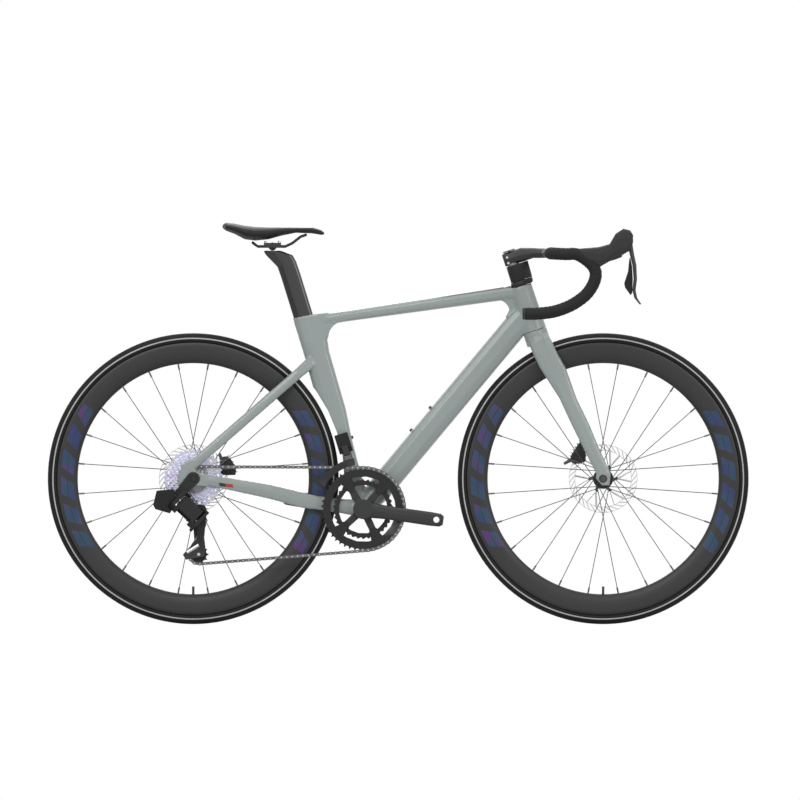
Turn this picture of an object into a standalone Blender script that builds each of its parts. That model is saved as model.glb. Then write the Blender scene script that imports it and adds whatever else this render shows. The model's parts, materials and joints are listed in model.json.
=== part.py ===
# Road bike: monocoque frame, aero wheels, disc brakes and an electronic two by twelve drivetrain.
# +X points to the front wheel, +Y to the rider's left, +Z up. The origin lies on the ground,
# midway between the axles. Lengths are in metres.
import math

import bmesh
import bpy
from mathutils import Matrix, Vector

for item in list(bpy.data.objects):
    bpy.data.objects.remove(item)

# Wheels
TYRE_RADIUS = 0.339
TYRE_WIDTH = 0.028
RIM_RADIUS = 0.317
RIM_DEPTH = 0.048
RIM_WIDTH = 0.0270
SPOKE_COUNT = 24
SPOKE_WIDTH = 0.0022
WHEEL_SEGMENTS = 32
AXLE_RADIUS = 0.006
FRONT_HUB_WIDTH = 0.100
REAR_HUB_WIDTH = 0.142
FRONT_FLANGE_SPAN = 0.056
REAR_FLANGE_SPAN = 0.054
REAR_FLANGE_SHIFT = 0.009
FLANGE_RADIUS = 0.021
ROTOR_RADIUS = 0.080
ROTOR_THICKNESS = 0.0018
ROTOR_INSET = 0.0105

# Frame geometry
WHEELBASE = 0.955
CHAINSTAY_LENGTH = 0.402
BB_DROP = 0.071
BB_SHELL_WIDTH = 0.068
BB_SHELL_RADIUS = 0.0235
HEAD_ANGLE = math.radians(72)
SEAT_ANGLE = math.radians(72.8)
FORK_OFFSET = 0.045
CROWN_HEIGHT = 0.3765
HEAD_TUBE_LENGTH = 0.109
HEAD_TUBE_RADIUS = 0.0275
DOWN_TUBE_DEPTH = 0.059
DOWN_TUBE_WIDTH = 0.044
DOWN_TUBE_TOP = 0.4293
TOP_TUBE_DEPTH = 0.028
TOP_TUBE_WIDTH = 0.034
TOP_TUBE_TOP = 0.4735
TOP_TUBE_SEAT = 0.457
SEAT_TUBE_LENGTH = 0.474
SEAT_TUBE_WIDTH = 0.035
SEAT_STAY_HEIGHT = 0.369
SEAT_STAY_DEPTH = 0.0246
STAY_THICKNESS = 0.013
STAY_GAP = 0.040
DROPOUT_RADIUS = 0.017
WHEEL_CLEARANCE = 0.013

# Steering, cockpit and controls
STEERER_RADIUS = 0.0143
LOWER_STEERER_RADIUS = 0.019
BEARING_HEIGHT = 0.007
TOP_COVER_HEIGHT = 0.0125
SPACER_STACK = 0.039
STEM_HEIGHT = 0.033
BAR_WIDTH = 0.400
BAR_REACH = 0.110
BAR_DROP = 0.141
BAR_RADIUS = 0.0119
BAR_TOP_DEPTH = 0.036
BAR_TOP_HEIGHT = 0.018
TAPE_THICKNESS = 0.0028
TAPE_START = 0.158
STEM_REACH = 0.0811
BAR_RISE = 0.0272
LEVER_WIDTH = 0.012

# Saddle and seatpost
POST_CHORD = 0.046
POST_WIDTH = 0.021
POST_SETBACK = 0.0235
POST_INSERTED = 0.105
POST_TRAVEL = 0.040
SADDLE_LENGTH = 0.237
SADDLE_WIDTH = 0.142
RAIL_RADIUS = 0.0035
RAIL_SPACING = 0.044
RAIL_HEIGHT = 0.880
CLAMP_RADIUS = 0.0095

# Drivetrain
PITCH = 0.0127
BIG_TEETH = 48
SMALL_TEETH = 34
COG_TEETH = (11, 12, 13, 14, 15, 17, 19, 21, 24, 27, 30, 34)
CHAIN_COG = 3
PULLEY_TEETH = 11
COG_PITCH = 0.00358
SPROCKET_THICKNESS = 0.0016
CHAIN_LINE = 0.0437
RING_SPACING = 0.0065
CHAIN_WIDTH = 0.0047
CHAIN_INNER_WIDTH = 0.0025
PLATE_HEIGHT = 0.0084
ROLLER_LENGTH = 0.0052
CRANK_LENGTH = 0.1725
CRANK_ANGLE = math.radians(-8.2)
CRANK_WIDTH = 0.033
CRANK_THICKNESS = 0.012
PEDAL_HOLE_RADIUS = 0.00715
Q_FACTOR = 0.146
SPINDLE_RADIUS = 0.012
CUP_RADIUS = 0.021
CUP_WIDTH = 0.009
BOLT_CIRCLE_RADIUS = 0.055
LINK_LENGTH = 0.050
CAGE_LENGTH = 0.079
CAGE_GAP = 0.0104
CAGE_PLATE = 0.0018

GAP = 0.0003
RUN = 0.0006

# Points that the pieces share, as (x, z) on the bike's middle plane
REAR = Vector((-WHEELBASE / 2, TYRE_RADIUS))
FRONT = Vector((WHEELBASE / 2, TYRE_RADIUS))
BB = Vector((REAR.x + math.sqrt(CHAINSTAY_LENGTH**2 - BB_DROP**2), REAR.y - BB_DROP))
HEAD_UP = Vector((-math.cos(HEAD_ANGLE), math.sin(HEAD_ANGLE)))
HEAD_OUT = Vector((math.sin(HEAD_ANGLE), math.cos(HEAD_ANGLE)))
HEAD_FOOT = FRONT - HEAD_OUT * FORK_OFFSET
SEAT_UP = Vector((-math.cos(SEAT_ANGLE), math.sin(SEAT_ANGLE)))
SEAT_OUT = Vector((math.sin(SEAT_ANGLE), math.cos(SEAT_ANGLE)))


def on_head(out, up):
    """A point by its distance in front of the steering axis and its height along it."""
    return HEAD_FOOT + HEAD_OUT * out + HEAD_UP * up


def on_seat(out, up):
    """A point by its distance in front of the seatpost's axis and its height along it."""
    return BB + SEAT_OUT * out + SEAT_UP * up


def solid(point, y=0.0):
    """A point of the middle plane moved sideways to y."""
    return Vector((point.x, y, point.y))


MATERIALS = {
    "frame_paint": ((0.22, 0.26, 0.25), 0.3, 0.2),
    "carbon": ((0.02, 0.02, 0.022), 0.35, 0.0),
    "rubber": ((0.02, 0.02, 0.02), 0.8, 0.0),
    "tape": ((0.018, 0.018, 0.018), 0.7, 0.0),
    "black_alloy": ((0.025, 0.026, 0.03), 0.4, 0.6),
    "steel": ((0.55, 0.55, 0.56), 0.3, 1.0),
    "chain_steel": ((0.10, 0.10, 0.105), 0.35, 0.9),
    "cog_steel": ((0.30, 0.24, 0.32), 0.3, 0.9),
    "dark_plastic": ((0.05, 0.05, 0.055), 0.5, 0.0),
    "saddle_cover": ((0.02, 0.02, 0.02), 0.6, 0.0),
}


def material(name):
    """The named finish, made the first time it is asked for."""
    if name in bpy.data.materials:
        return bpy.data.materials[name]
    colour, roughness, metallic = MATERIALS[name]
    made = bpy.data.materials.new(name)
    made.use_nodes = True
    shader = made.node_tree.nodes["Principled BSDF"]
    shader.inputs["Base Color"].default_value = (*colour, 1)
    shader.inputs["Roughness"].default_value = roughness
    shader.inputs["Metallic"].default_value = metallic
    return made


def finish(name, bm, finish_name):
    """Turns a bmesh into a smooth-shaded object with outward faces."""
    bmesh.ops.remove_doubles(bm, verts=bm.verts, dist=1e-7)
    bmesh.ops.recalc_face_normals(bm, faces=bm.faces)
    mesh = bpy.data.meshes.new(name)
    bm.to_mesh(mesh)
    bm.free()
    mesh.materials.append(material(finish_name))
    mesh.shade_smooth()
    mesh.set_sharp_from_angle(angle=math.radians(35))
    made = bpy.data.objects.new(name, mesh)
    bpy.context.scene.collection.objects.link(made)
    return made


def combine(target, tool, operation):
    """Applies one Boolean of tool to target, and removes the tool."""
    step = target.modifiers.new("Boolean", "BOOLEAN")
    step.operation = operation
    step.object = tool
    bpy.context.view_layer.update()
    shaped = target.evaluated_get(bpy.context.evaluated_depsgraph_get())
    old = target.data
    fresh = bpy.data.meshes.new_from_object(shaped)
    target.modifiers.clear()
    target.data = fresh
    bpy.data.meshes.remove(old)
    bpy.data.objects.remove(tool)
    return target


def simplified(target):
    """Merges the flat slivers that the Booleans leave, so each flat has few triangles."""
    bm = bmesh.new()
    bm.from_mesh(target.data)
    bmesh.ops.remove_doubles(bm, verts=bm.verts, dist=1e-6)
    bmesh.ops.dissolve_limit(bm, angle_limit=math.radians(0.6), verts=bm.verts, edges=bm.edges)
    bmesh.ops.triangulate(bm, faces=bm.faces)
    bm.to_mesh(target.data)
    bm.free()
    return target


def cut(target, *tools):
    for tool in tools:
        combine(target, tool, "DIFFERENCE")
    return target


def join(target, *others):
    for other in others:
        combine(target, other, "UNION")
    return target


def oval(centre, u, v, half_u, half_v, count=12, squareness=2.4):
    """A ring of points on a rounded rectangle spanned by the directions u and v."""
    ring = []
    for i in range(count):
        angle = 2 * math.pi * i / count
        c, s = math.cos(angle), math.sin(angle)
        a = math.copysign(abs(c) ** (2 / squareness), c) * half_u
        b = math.copysign(abs(s) ** (2 / squareness), s) * half_v
        ring.append(Vector(centre) + Vector(u) * a + Vector(v) * b)
    return ring


def loft(name, rings, finish_name):
    """A closed skin through rings of equal count, capped at both ends."""
    bm = bmesh.new()
    rows = [[bm.verts.new(p) for p in ring] for ring in rings]
    count = len(rows[0])
    for low, high in zip(rows, rows[1:]):
        for i in range(count):
            j = (i + 1) % count
            bm.faces.new((low[i], low[j], high[j], high[i]))
    bm.faces.new(rows[0])
    bm.faces.new(rows[-1])
    return finish(name, bm, finish_name)


def turned(name, profile, finish_name, centre, axis=(0, 1, 0), segments=24, phase=0.0):
    """Spins a profile of (radius, height) points about an axis. A profile that never touches
    the axis is closed into a ring."""
    axis = Vector(axis).normalized()
    out = axis.orthogonal().normalized()
    if abs(axis.y) > 0.99:
        out = Vector((1, 0, 0))
    out = Matrix.Rotation(phase, 3, axis) @ out
    bm = bmesh.new()
    centre = Vector(centre)
    points = [bm.verts.new(centre + axis * h + out * r) for r, h in profile]
    edges = [bm.edges.new(pair) for pair in zip(points, points[1:])]
    if profile[0][0] > 0 and profile[-1][0] > 0:
        edges.append(bm.edges.new((points[-1], points[0])))
    bmesh.ops.spin(
        bm, geom=points + edges, cent=centre, axis=axis, angle=2 * math.pi, steps=segments, use_merge=True
    )
    bmesh.ops.remove_doubles(bm, verts=bm.verts, dist=1e-6)
    poles = [v for v in bm.verts if (v.co - centre).cross(axis).length < 1e-7]
    bmesh.ops.dissolve_verts(bm, verts=poles)
    return finish(name, bm, finish_name)


def rod(name, radius, start, end, finish_name, segments=16):
    """A plain cylinder from start to end."""
    start, end = Vector(start), Vector(end)
    span = end - start
    return turned(name, [(0, 0), (radius, 0), (radius, span.length), (0, span.length)], finish_name, start, span, segments)


def ring(name, inner, outer, start, end, finish_name, segments=24):
    """A plain tube from start to end."""
    start, end = Vector(start), Vector(end)
    h = (end - start).length
    return turned(name, [(inner, 0), (outer, 0), (outer, h), (inner, h)], finish_name, start, end - start, segments)


def plate(name, loops, y0, y1, finish_name):
    """A flat plate between two values of y. The first loop is its outline, the rest its holes."""
    bm = bmesh.new()
    edges = []
    for loop in loops:
        points = [bm.verts.new((p[0], y0, p[1])) for p in loop]
        edges += [bm.edges.new((points[i - 1], points[i])) for i in range(len(points))]
    filled = bmesh.ops.triangle_fill(bm, use_beauty=True, use_dissolve=False, edges=edges)
    faces = [g for g in filled["geom"] if isinstance(g, bmesh.types.BMFace)]
    moved = bmesh.ops.extrude_face_region(bm, geom=faces, use_keep_orig=True)
    top = [g for g in moved["geom"] if isinstance(g, bmesh.types.BMVert)]
    bmesh.ops.translate(bm, verts=top, vec=(0, y1 - y0, 0))
    return finish(name, bm, finish_name)


def arc(centre, radius, start, end, count):
    """Points on an arc in the middle plane. Angles are in degrees from +X towards +Z."""
    turn = [math.radians(start + (end - start) * i / (count - 1)) for i in range(count)]
    return [(centre[0] + radius * math.cos(a), centre[1] + radius * math.sin(a)) for a in turn]


def circle(centre, radius, count=16):
    return arc(centre, radius, 0, 360 * (count - 1) / count, count)


def capsule(a, ra, b, rb, count=9):
    """The outline round two circles of unlike size."""
    a, b = Vector(a), Vector(b)
    heading = math.degrees(math.atan2((b - a).y, (b - a).x))
    tilt = math.degrees(math.acos((ra - rb) / (b - a).length))
    return arc(b, rb, heading - tilt, heading + tilt, count) + arc(a, ra, heading + tilt, heading + 360 - tilt, count)


def box(name, centre, size, finish_name, turn=None):
    bm = bmesh.new()
    place = Matrix.Translation(Vector(centre)) @ (turn.to_4x4() if turn else Matrix.Identity(4))
    bmesh.ops.create_cube(bm, size=1, matrix=place @ Matrix.Diagonal((*size, 1)))
    return finish(name, bm, finish_name)


def smooth_path(points, steps):
    """Points on a smooth curve through the given ones."""
    pts = [Vector(p) for p in points]
    ends = [2 * pts[0] - pts[1], *pts, 2 * pts[-1] - pts[-2]]
    path = []
    for k in range(len(pts) - 1):
        a, b, c, d = ends[k : k + 4]
        for i in range(steps):
            t = i / steps
            path.append(
                0.5 * (2 * b + (c - a) * t + (2 * a - 5 * b + 4 * c - d) * t * t + (3 * b - a - 3 * c + d) * t**3)
            )
    return [*path, pts[-1]]


def sweep(name, path, sizes, finish_name, first_side, count=10, first=0, back=0.0, on=0.0):
    """A bar along a path. sizes gives the half sizes across and up at each point, and the
    side direction is carried along the path without twist. The bar starts at the point
    numbered first, and reaches back and on past its ends."""
    side = Vector(first_side)
    rings = []
    for i, point in enumerate(path):
        ahead = (path[min(i + 1, len(path) - 1)] - path[max(i - 1, 0)]).normalized()
        side = (side - ahead * side.dot(ahead)).normalized()
        up = ahead.cross(side)
        reach = -back if i == first else on if i == len(path) - 1 else 0.0
        rings.append(oval(point + ahead * reach, side, up, *sizes[i], count, 2.0))
    return loft(name, rings[first:], finish_name)


def pitch_radius(teeth):
    return PITCH / 2 / math.sin(math.pi / teeth)


# Chain path. Each sprocket has its centre, its teeth, the side it turns to and its place in y.
CHAIN_Y_REAR = -(REAR_HUB_WIDTH / 2 - 0.0050 - CHAIN_COG * COG_PITCH)
BIG_RING_Y = -(CHAIN_LINE + RING_SPACING / 2)
SMALL_RING_Y = -(CHAIN_LINE - RING_SPACING / 2)
CAGE_PIVOT = REAR + Vector((0.0157, -0.077))
GUIDE = CAGE_PIVOT + Vector((-0.0087, -0.0205))
TENSION = GUIDE + Vector((math.sin(math.radians(3.8)), -math.cos(math.radians(3.8)))) * CAGE_LENGTH
# In the order that the chain runs from the top of the big ring
CHAIN_STOPS = (
    (BB, BIG_TEETH, -1, BIG_RING_Y),
    (TENSION, PULLEY_TEETH, -1, CHAIN_Y_REAR),
    (GUIDE, PULLEY_TEETH, 1, CHAIN_Y_REAR),
    (REAR, COG_TEETH[CHAIN_COG], -1, CHAIN_Y_REAR),
)


def tangent(one, two):
    """The angles at which a straight run leaves one sprocket and meets the next."""
    (c1, n1, s1, _), (c2, n2, s2, _) = one, two
    r1, r2 = pitch_radius(n1), pitch_radius(n2)
    away = c2 - c1
    heading = math.atan2(away.y, away.x)
    lean = math.acos((r1 * s1 - r2 * s2) * s1 / away.length)
    leave = heading - s1 * lean
    meet = leave if s1 == s2 else leave + math.pi
    return leave, meet


def on_circle(centre, radius, angle):
    return centre + Vector((math.cos(angle), math.sin(angle))) * radius


def along_run(start, end, share):
    """A point of a straight run. The chain leaves and meets each sprocket in its plane."""
    point = start.lerp(end, share)
    sideways = min(max(share * 1.25 - 0.125, 0), 1)
    point.y = start.y + (end.y - start.y) * sideways
    return point


def chain_layout():
    """Pin positions round the whole chain, and each sprocket's angle of one tooth gap.
    Rollers seat in the tooth gaps on every sprocket, and the last run takes up what is left."""
    pins, phases = [], []
    count = len(CHAIN_STOPS)
    first_angle = tangent(CHAIN_STOPS[-1], CHAIN_STOPS[0])[1]
    for k, stop in enumerate(CHAIN_STOPS):
        centre, teeth, sense, y = stop
        radius, step = pitch_radius(teeth), 2 * math.pi / teeth
        enter = tangent(CHAIN_STOPS[k - 1], stop)[1]
        leave = tangent(stop, CHAIN_STOPS[(k + 1) % count])[0]
        wrap = (leave - enter) * sense % (2 * math.pi)
        shift = 0.0
        if pins:
            last = Vector((pins[-1].x, pins[-1].z))
            plain = (on_circle(centre, radius, enter) - last).length
            target = round(plain / PITCH) * PITCH
            low, high = -0.6 * step, 0.6 * step
            for _ in range(40):
                shift = (low + high) / 2
                run = (on_circle(centre, radius, enter + sense * shift) - last).length
                low, high = (shift, high) if run < target else (low, shift)
            start = on_circle(centre, radius, enter + sense * shift)
            links = round((start - last).length / PITCH)
            before = pins[-1]
            for i in range(1, links):
                pins.append(along_run(before, solid(start, y), i / links))
        else:
            enter = first_angle
        engaged = max(round((wrap - shift) / step), 0)
        for i in range(engaged + 1):
            pins.append(solid(on_circle(centre, radius, enter + sense * (shift + i * step)), y))
        phases.append(enter + sense * shift)
    gap = pins[0] - pins[-1]
    links = round(gap.length / PITCH)
    if (len(pins) + links - 1) % 2:
        links += 1
    last = pins[-1]
    for i in range(1, links):
        pins.append(along_run(last, pins[0], i / links))
    return pins, phases


PINS, PHASES = chain_layout()


def toothed(teeth, phase, full):
    """The outline of a sprocket whose tooth gap lies at the angle phase. A full outline has
    shaped gaps for the rollers, and the other has plain points."""
    radius = pitch_radius(teeth)
    outline = []
    for i in range(teeth):
        middle = phase + 2 * math.pi * (i + 0.5) / teeth
        if full:
            sides = ((-0.00325, -0.00385), (0.0, 0.0022), (0.00325, -0.00385))
        else:
            sides = ((-0.0042, -0.0032), (0.0, 0.0016))
        for across, up in sides:
            out = Vector((math.cos(middle), math.sin(middle)))
            side = Vector((-out.y, out.x))
            outline.append(out * (radius + up) + side * across)
    return outline


def around(centre, outline):
    return [tuple(centre + Vector(p)) for p in outline]


# Wheels
def wheel(side, centre, hub_width, flange_span, flange_shift, rotor_y):
    """One wheel: tyre, deep rim, hub with its spokes, rotor and valve."""
    middle = solid(centre)
    half = TYRE_WIDTH / 2
    bead = RIM_RADIUS - 0.0046
    tyre = [(bead, -0.0097), (RIM_RADIUS + 0.0015, -0.0100)]
    crown = (TYRE_RADIUS - RIM_RADIUS) * 0.61
    for degrees in (0, 48):
        a = math.radians(degrees)
        tyre.append((TYRE_RADIUS - crown + crown * math.sin(a), -half * math.cos(a)))
    tyre.append((TYRE_RADIUS, 0))
    tyre += [(r, -y) for r, y in reversed(tyre[:-1])]
    turned(side + "_tyre", tyre, "rubber", middle, segments=WHEEL_SEGMENTS)
    inner = RIM_RADIUS - RIM_DEPTH
    edge = RIM_WIDTH / 2
    rim = [
        (bead - GAP, 0.0104),
        (RIM_RADIUS, 0.0104),
        (RIM_RADIUS, edge),
        (RIM_RADIUS - RIM_DEPTH * 0.72, edge * 0.86),
        (inner, 0),
    ]
    rim += [(r, -y) for r, y in reversed(rim[:-1])]
    shape = turned(side + "_rim", rim, "carbon", middle, segments=WHEEL_SEGMENTS)
    low = solid(centre, 0) - Vector((0, 0, inner - 0.02))
    cut(shape, rod("valve_hole", 0.0033 + GAP, low, low - Vector((0, 0, RIM_DEPTH + 0.03)), "carbon", 8))
    valve_top = solid(centre) - Vector((0, 0, bead - GAP * 2))
    rod(side + "_valve", 0.003, valve_top, solid(centre) - Vector((0, 0, inner - 0.018)), "black_alloy", 8)

    # the rear hub's driven side leaves room for the freehub
    left = flange_span / 2 + flange_shift
    right = -flange_span / 2 + flange_shift
    end_left = hub_width / 2 - 0.0012
    end_right = -(hub_width / 2 - 0.0012) if not flange_shift else right - 0.0028
    bore = AXLE_RADIUS + GAP
    body = [
        (bore, end_right),
        (0.0105, end_right),
        (FLANGE_RADIUS + 0.002, right - 0.0022),
        (FLANGE_RADIUS + 0.002, right + 0.0022),
        (0.0125, right + 0.007),
        (0.0125, left - 0.007),
        (FLANGE_RADIUS + 0.002, left - 0.0022),
        (FLANGE_RADIUS + 0.002, left + 0.0022),
        (0.0172, rotor_y - ROTOR_THICKNESS / 2 - GAP),
        (0.0152, rotor_y - ROTOR_THICKNESS / 2 - GAP),
        (0.0152, rotor_y + 0.003),
        (0.0105, rotor_y + 0.003),
        (0.0105, end_left),
        (bore, end_left),
    ]
    hub = turned(side + "_hub", body, "black_alloy", middle, segments=12)
    reach = inner * math.cos(math.pi / WHEEL_SEGMENTS) - GAP
    for i in range(SPOKE_COUNT):
        flange = left if i % 2 else right
        rim_angle = 2 * math.pi * (i + 0.5) / SPOKE_COUNT
        lean = math.radians(62) * (1 if i % 4 < 2 else -1)
        foot = on_circle(Vector((0, 0)), FLANGE_RADIUS - 0.002, rim_angle + lean)
        head = on_circle(Vector((0, 0)), reach, rim_angle)
        start = middle + Vector((foot.x, flange + (0.0011 if lean > 0 else -0.0011), foot.y))
        end = middle + Vector((head.x, flange * 0.02, head.y))
        ahead = (end - start).normalized()
        across = ahead.cross(Vector((0, 1, 0))).normalized()
        deep = ahead.cross(across)
        rings = [
            oval(p, across, deep, SPOKE_WIDTH / 2, SPOKE_WIDTH / 2, 3, 2.0) for p in (start, end)
        ]
        join(hub, loft("spoke", rings, "black_alloy"))

    windows = []
    for i in range(6):
        a = 60 * i
        windows.append(
            around(centre, arc((0, 0), 0.0625, a + 8, a + 52, 3) + arc((0, 0), 0.0255, a + 44, a + 16, 2))
        )
    track = [around(centre, circle((0, 0), ROTOR_RADIUS, 30))]
    hub_hole = [around(centre, circle((0, 0), 0.0157, 14))]
    y0 = rotor_y - ROTOR_THICKNESS / 2
    plate(side + "_rotor", track + windows + hub_hole, y0, y0 + ROTOR_THICKNESS, "steel")


FRONT_ROTOR_Y = FRONT_HUB_WIDTH / 2 - ROTOR_INSET
REAR_ROTOR_Y = REAR_HUB_WIDTH / 2 - ROTOR_INSET
wheel("front", FRONT, FRONT_HUB_WIDTH, FRONT_FLANGE_SPAN, 0.0, FRONT_ROTOR_Y)
wheel("rear", REAR, REAR_HUB_WIDTH, REAR_FLANGE_SPAN, REAR_FLANGE_SHIFT, REAR_ROTOR_Y)


def cassette():
    """Twelve cogs on the freehub as one stepped body, the smallest outermost. The chain runs
    on the cog whose teeth are shaped for its rollers."""
    outer = -(REAR_HUB_WIDTH / 2 - 0.0050)
    half = SPROCKET_THICKNESS / 2
    core = circle((0, 0), 0.0165, 9)
    bore = circle((0, 0), AXLE_RADIUS + GAP + 0.0004, 10)
    bm = bmesh.new()

    def loop(outline, y):
        return [bm.verts.new((REAR.x + p[0], y, REAR.y + p[1])) for p in outline]

    def rim_edges(points):
        for i in range(len(points)):
            if not bm.edges.get((points[i - 1], points[i])):
                bm.edges.new((points[i - 1], points[i]))
        return [bm.edges.get((points[i - 1], points[i])) for i in range(len(points))]

    def wall(low, high):
        for i in range(len(low)):
            bm.faces.new((low[i - 1], low[i], high[i], high[i - 1]))

    def face(outside, inside):
        bmesh.ops.triangle_fill(bm, use_beauty=True, edges=rim_edges(outside) + rim_edges(inside))

    end = loop(core, outer - half - 0.0028)
    mouth = loop(bore, outer - half - 0.0028)
    face(end, mouth)
    below = end
    for i, teeth in enumerate(COG_TEETH):
        y = outer + i * COG_PITCH
        engaged = i == CHAIN_COG
        outline = toothed(teeth, PHASES[3] if engaged else math.radians(7 * i), engaged)
        near, far = loop(outline, y - half), loop(outline, y + half)
        near_core, far_core = loop(core, y - half), loop(core, y + half)
        wall(below, near_core)
        face(near, near_core)
        wall(near, far)
        face(far, far_core)
        below = far_core
    last = outer + (len(COG_TEETH) - 1) * COG_PITCH + half + 0.0030
    end = loop(core, last)
    wall(below, end)
    far_mouth = loop(bore, last)
    face(end, far_mouth)
    wall(mouth, far_mouth)
    return finish("cassette", bm, "cog_steel")


cassette()


# Frame
def slice_x(x, z, half_z, y, half_y):
    """A stay's section square to +X."""
    return oval((x, y, z), (0, 0, 1), (0, 1, 0), half_z, half_y, 8, 2.4)


# the dropout's outline, measured from the axle: the seat stay flows round into the chainstay
DROPOUT_WEB = (
    (-0.0076, 0.0458), (-0.0262, 0.0318), (-0.0302, 0.0155), (-0.0360, 0.0030), (-0.0350, -0.0120),
    (-0.0274, -0.0217), (-0.0146, -0.0229), (0.0017, -DROPOUT_RADIUS), (0.0320, -0.0182), (0.0320, 0.0109),
    (0.0097, 0.0141), (0.0041, 0.0197), (0.0008, 0.0286), (0.0157, 0.0435),
)
# fillets in the corners of the main triangle, as points of the middle plane
HEAD_FILLET = ((0.2306, 0.7600), (0.2492, 0.7492), (0.2557, 0.7417), (0.2594, 0.7329), (0.2500, 0.7150), (0.2950, 0.7300), (0.2950, 0.7650))
SEAT_FILLET = ((-0.1870, 0.7140), (-0.1240, 0.7078), (-0.1403, 0.7032), (-0.1519, 0.6948), (-0.1600, 0.6831), (-0.1636, 0.6670), (-0.1870, 0.6620))
COLLAR_LINE = ((-0.2521, 0.7118), (-0.2428, 0.7136), (-0.2008, 0.7215), (-0.1519, 0.7270), (-0.1123, 0.7333), (-0.1123, 0.7700), (-0.2521, 0.7700))


def frame_stays(frame):
    for hand in (-1, 1):
        clear = STAY_GAP / 2 + STAY_THICKNESS / 2
        end = REAR_HUB_WIDTH / 2 + GAP + STAY_THICKNESS / 2
        stations = (
            (0.04, 0.000, 0.0190, clear - 0.003, 1.3),
            (0.25, -0.004, 0.0165, clear, 1.1),
            (0.37, -0.0045, 0.0190, clear + 0.004, 1.0),
            (0.55, 0.0014, 0.0171, clear + 0.020, 1.0),
            (0.77, 0.0025, 0.0150, end - 0.005, 1.0),
            (0.87, 0.0020, 0.0138, end, 0.9),
            (1.00, 0.0005, 0.0120, end, 0.9),
        )
        rings = []
        for share, lift, half, y, thick in stations:
            at = BB.lerp(REAR, share)
            rings.append(slice_x(at.x, at.y + lift, half, hand * y, STAY_THICKNESS / 2 * thick))
        join(frame, loft("chainstay", rings, "frame_paint"))
        top = on_seat(0, SEAT_STAY_HEIGHT)
        foot = REAR + Vector((-0.012, 0.022))
        run = (foot - top).normalized()
        square = Vector((-run.y, run.x))
        rings = []
        for share, y, depth in ((0.03, 0.013, 1.15), (0.14, clear, 1.0), (0.40, clear + 0.014, 1.0), (0.76, end - 0.004, 1.0), (0.9, end, 0.95), (1.0, end, 0.9)):
            at = top.lerp(foot, share)
            thick = STAY_THICKNESS / 2 * (0.92 if share > 0.7 else 1.05)
            rings.append(oval(solid(at, hand * y), (square.x, 0, square.y), (0, 1, 0), SEAT_STAY_DEPTH / 2 * depth, thick, 8, 2.4))
        join(frame, loft("seat_stay", rings, "frame_paint"))
        inner = hand * (REAR_HUB_WIDTH / 2 + GAP)
        outer = inner + hand * (STAY_THICKNESS - 0.0012)
        web = [tuple(REAR + Vector(p)) for p in DROPOUT_WEB]
        join(frame, plate("dropout_web", [web], inner, outer, "frame_paint"))


def straight(name, start, end, stations, finish_name="frame_paint", count=10, squareness=2.6):
    """A tube between two points of the middle plane. stations are (share, half depth, half width)."""
    run = (end - start).normalized()
    square = Vector((-run.y, run.x))
    rings = [
        oval(solid(start.lerp(end, share)), (square.x, 0, square.y), (0, 1, 0), deep, wide, count, squareness)
        for share, deep, wide in stations
    ]
    return loft(name, rings, finish_name)


def seat_slice(up, front, back, half):
    middle = on_seat((front + back) / 2, up)
    return oval(solid(middle), (SEAT_OUT.x, 0, SEAT_OUT.y), (0, 1, 0), (front - back) / 2, half, 14, 2.8)


HEAD_BOTTOM = CROWN_HEIGHT + GAP
HEAD_TOP = HEAD_BOTTOM + HEAD_TUBE_LENGTH
COVER_TOP = HEAD_TOP + GAP + TOP_COVER_HEIGHT
STEM_BOTTOM = COVER_TOP + 2 * GAP + SPACER_STACK
STEM_TOP = STEM_BOTTOM + STEM_HEIGHT
HEAD_AXIS = Vector((HEAD_UP.x, 0, HEAD_UP.y))
BB_HALF = BB_SHELL_WIDTH / 2
COVER_SEAT = TOP_COVER_HEIGHT - 0.0015
AXLE_HOLE = AXLE_RADIUS + GAP


def cover_slice(up, front, back, half):
    return oval(solid(on_head((front + back) / 2, up)), (HEAD_OUT.x, 0, HEAD_OUT.y), (0, 1, 0), (front - back) / 2, half, 12, 2.2)


def limit_height(radius):
    """How high, along the steering axis, the fork's crown may reach at a radius from it."""
    return CROWN_HEIGHT - 0.0125 - 0.433 * (radius - HEAD_TUBE_RADIUS - 0.0015)


def shifted(points, rise):
    """The outline moved along the seat tube by a rise."""
    return [tuple(Vector(p) + SEAT_UP * rise) for p in points]


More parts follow.
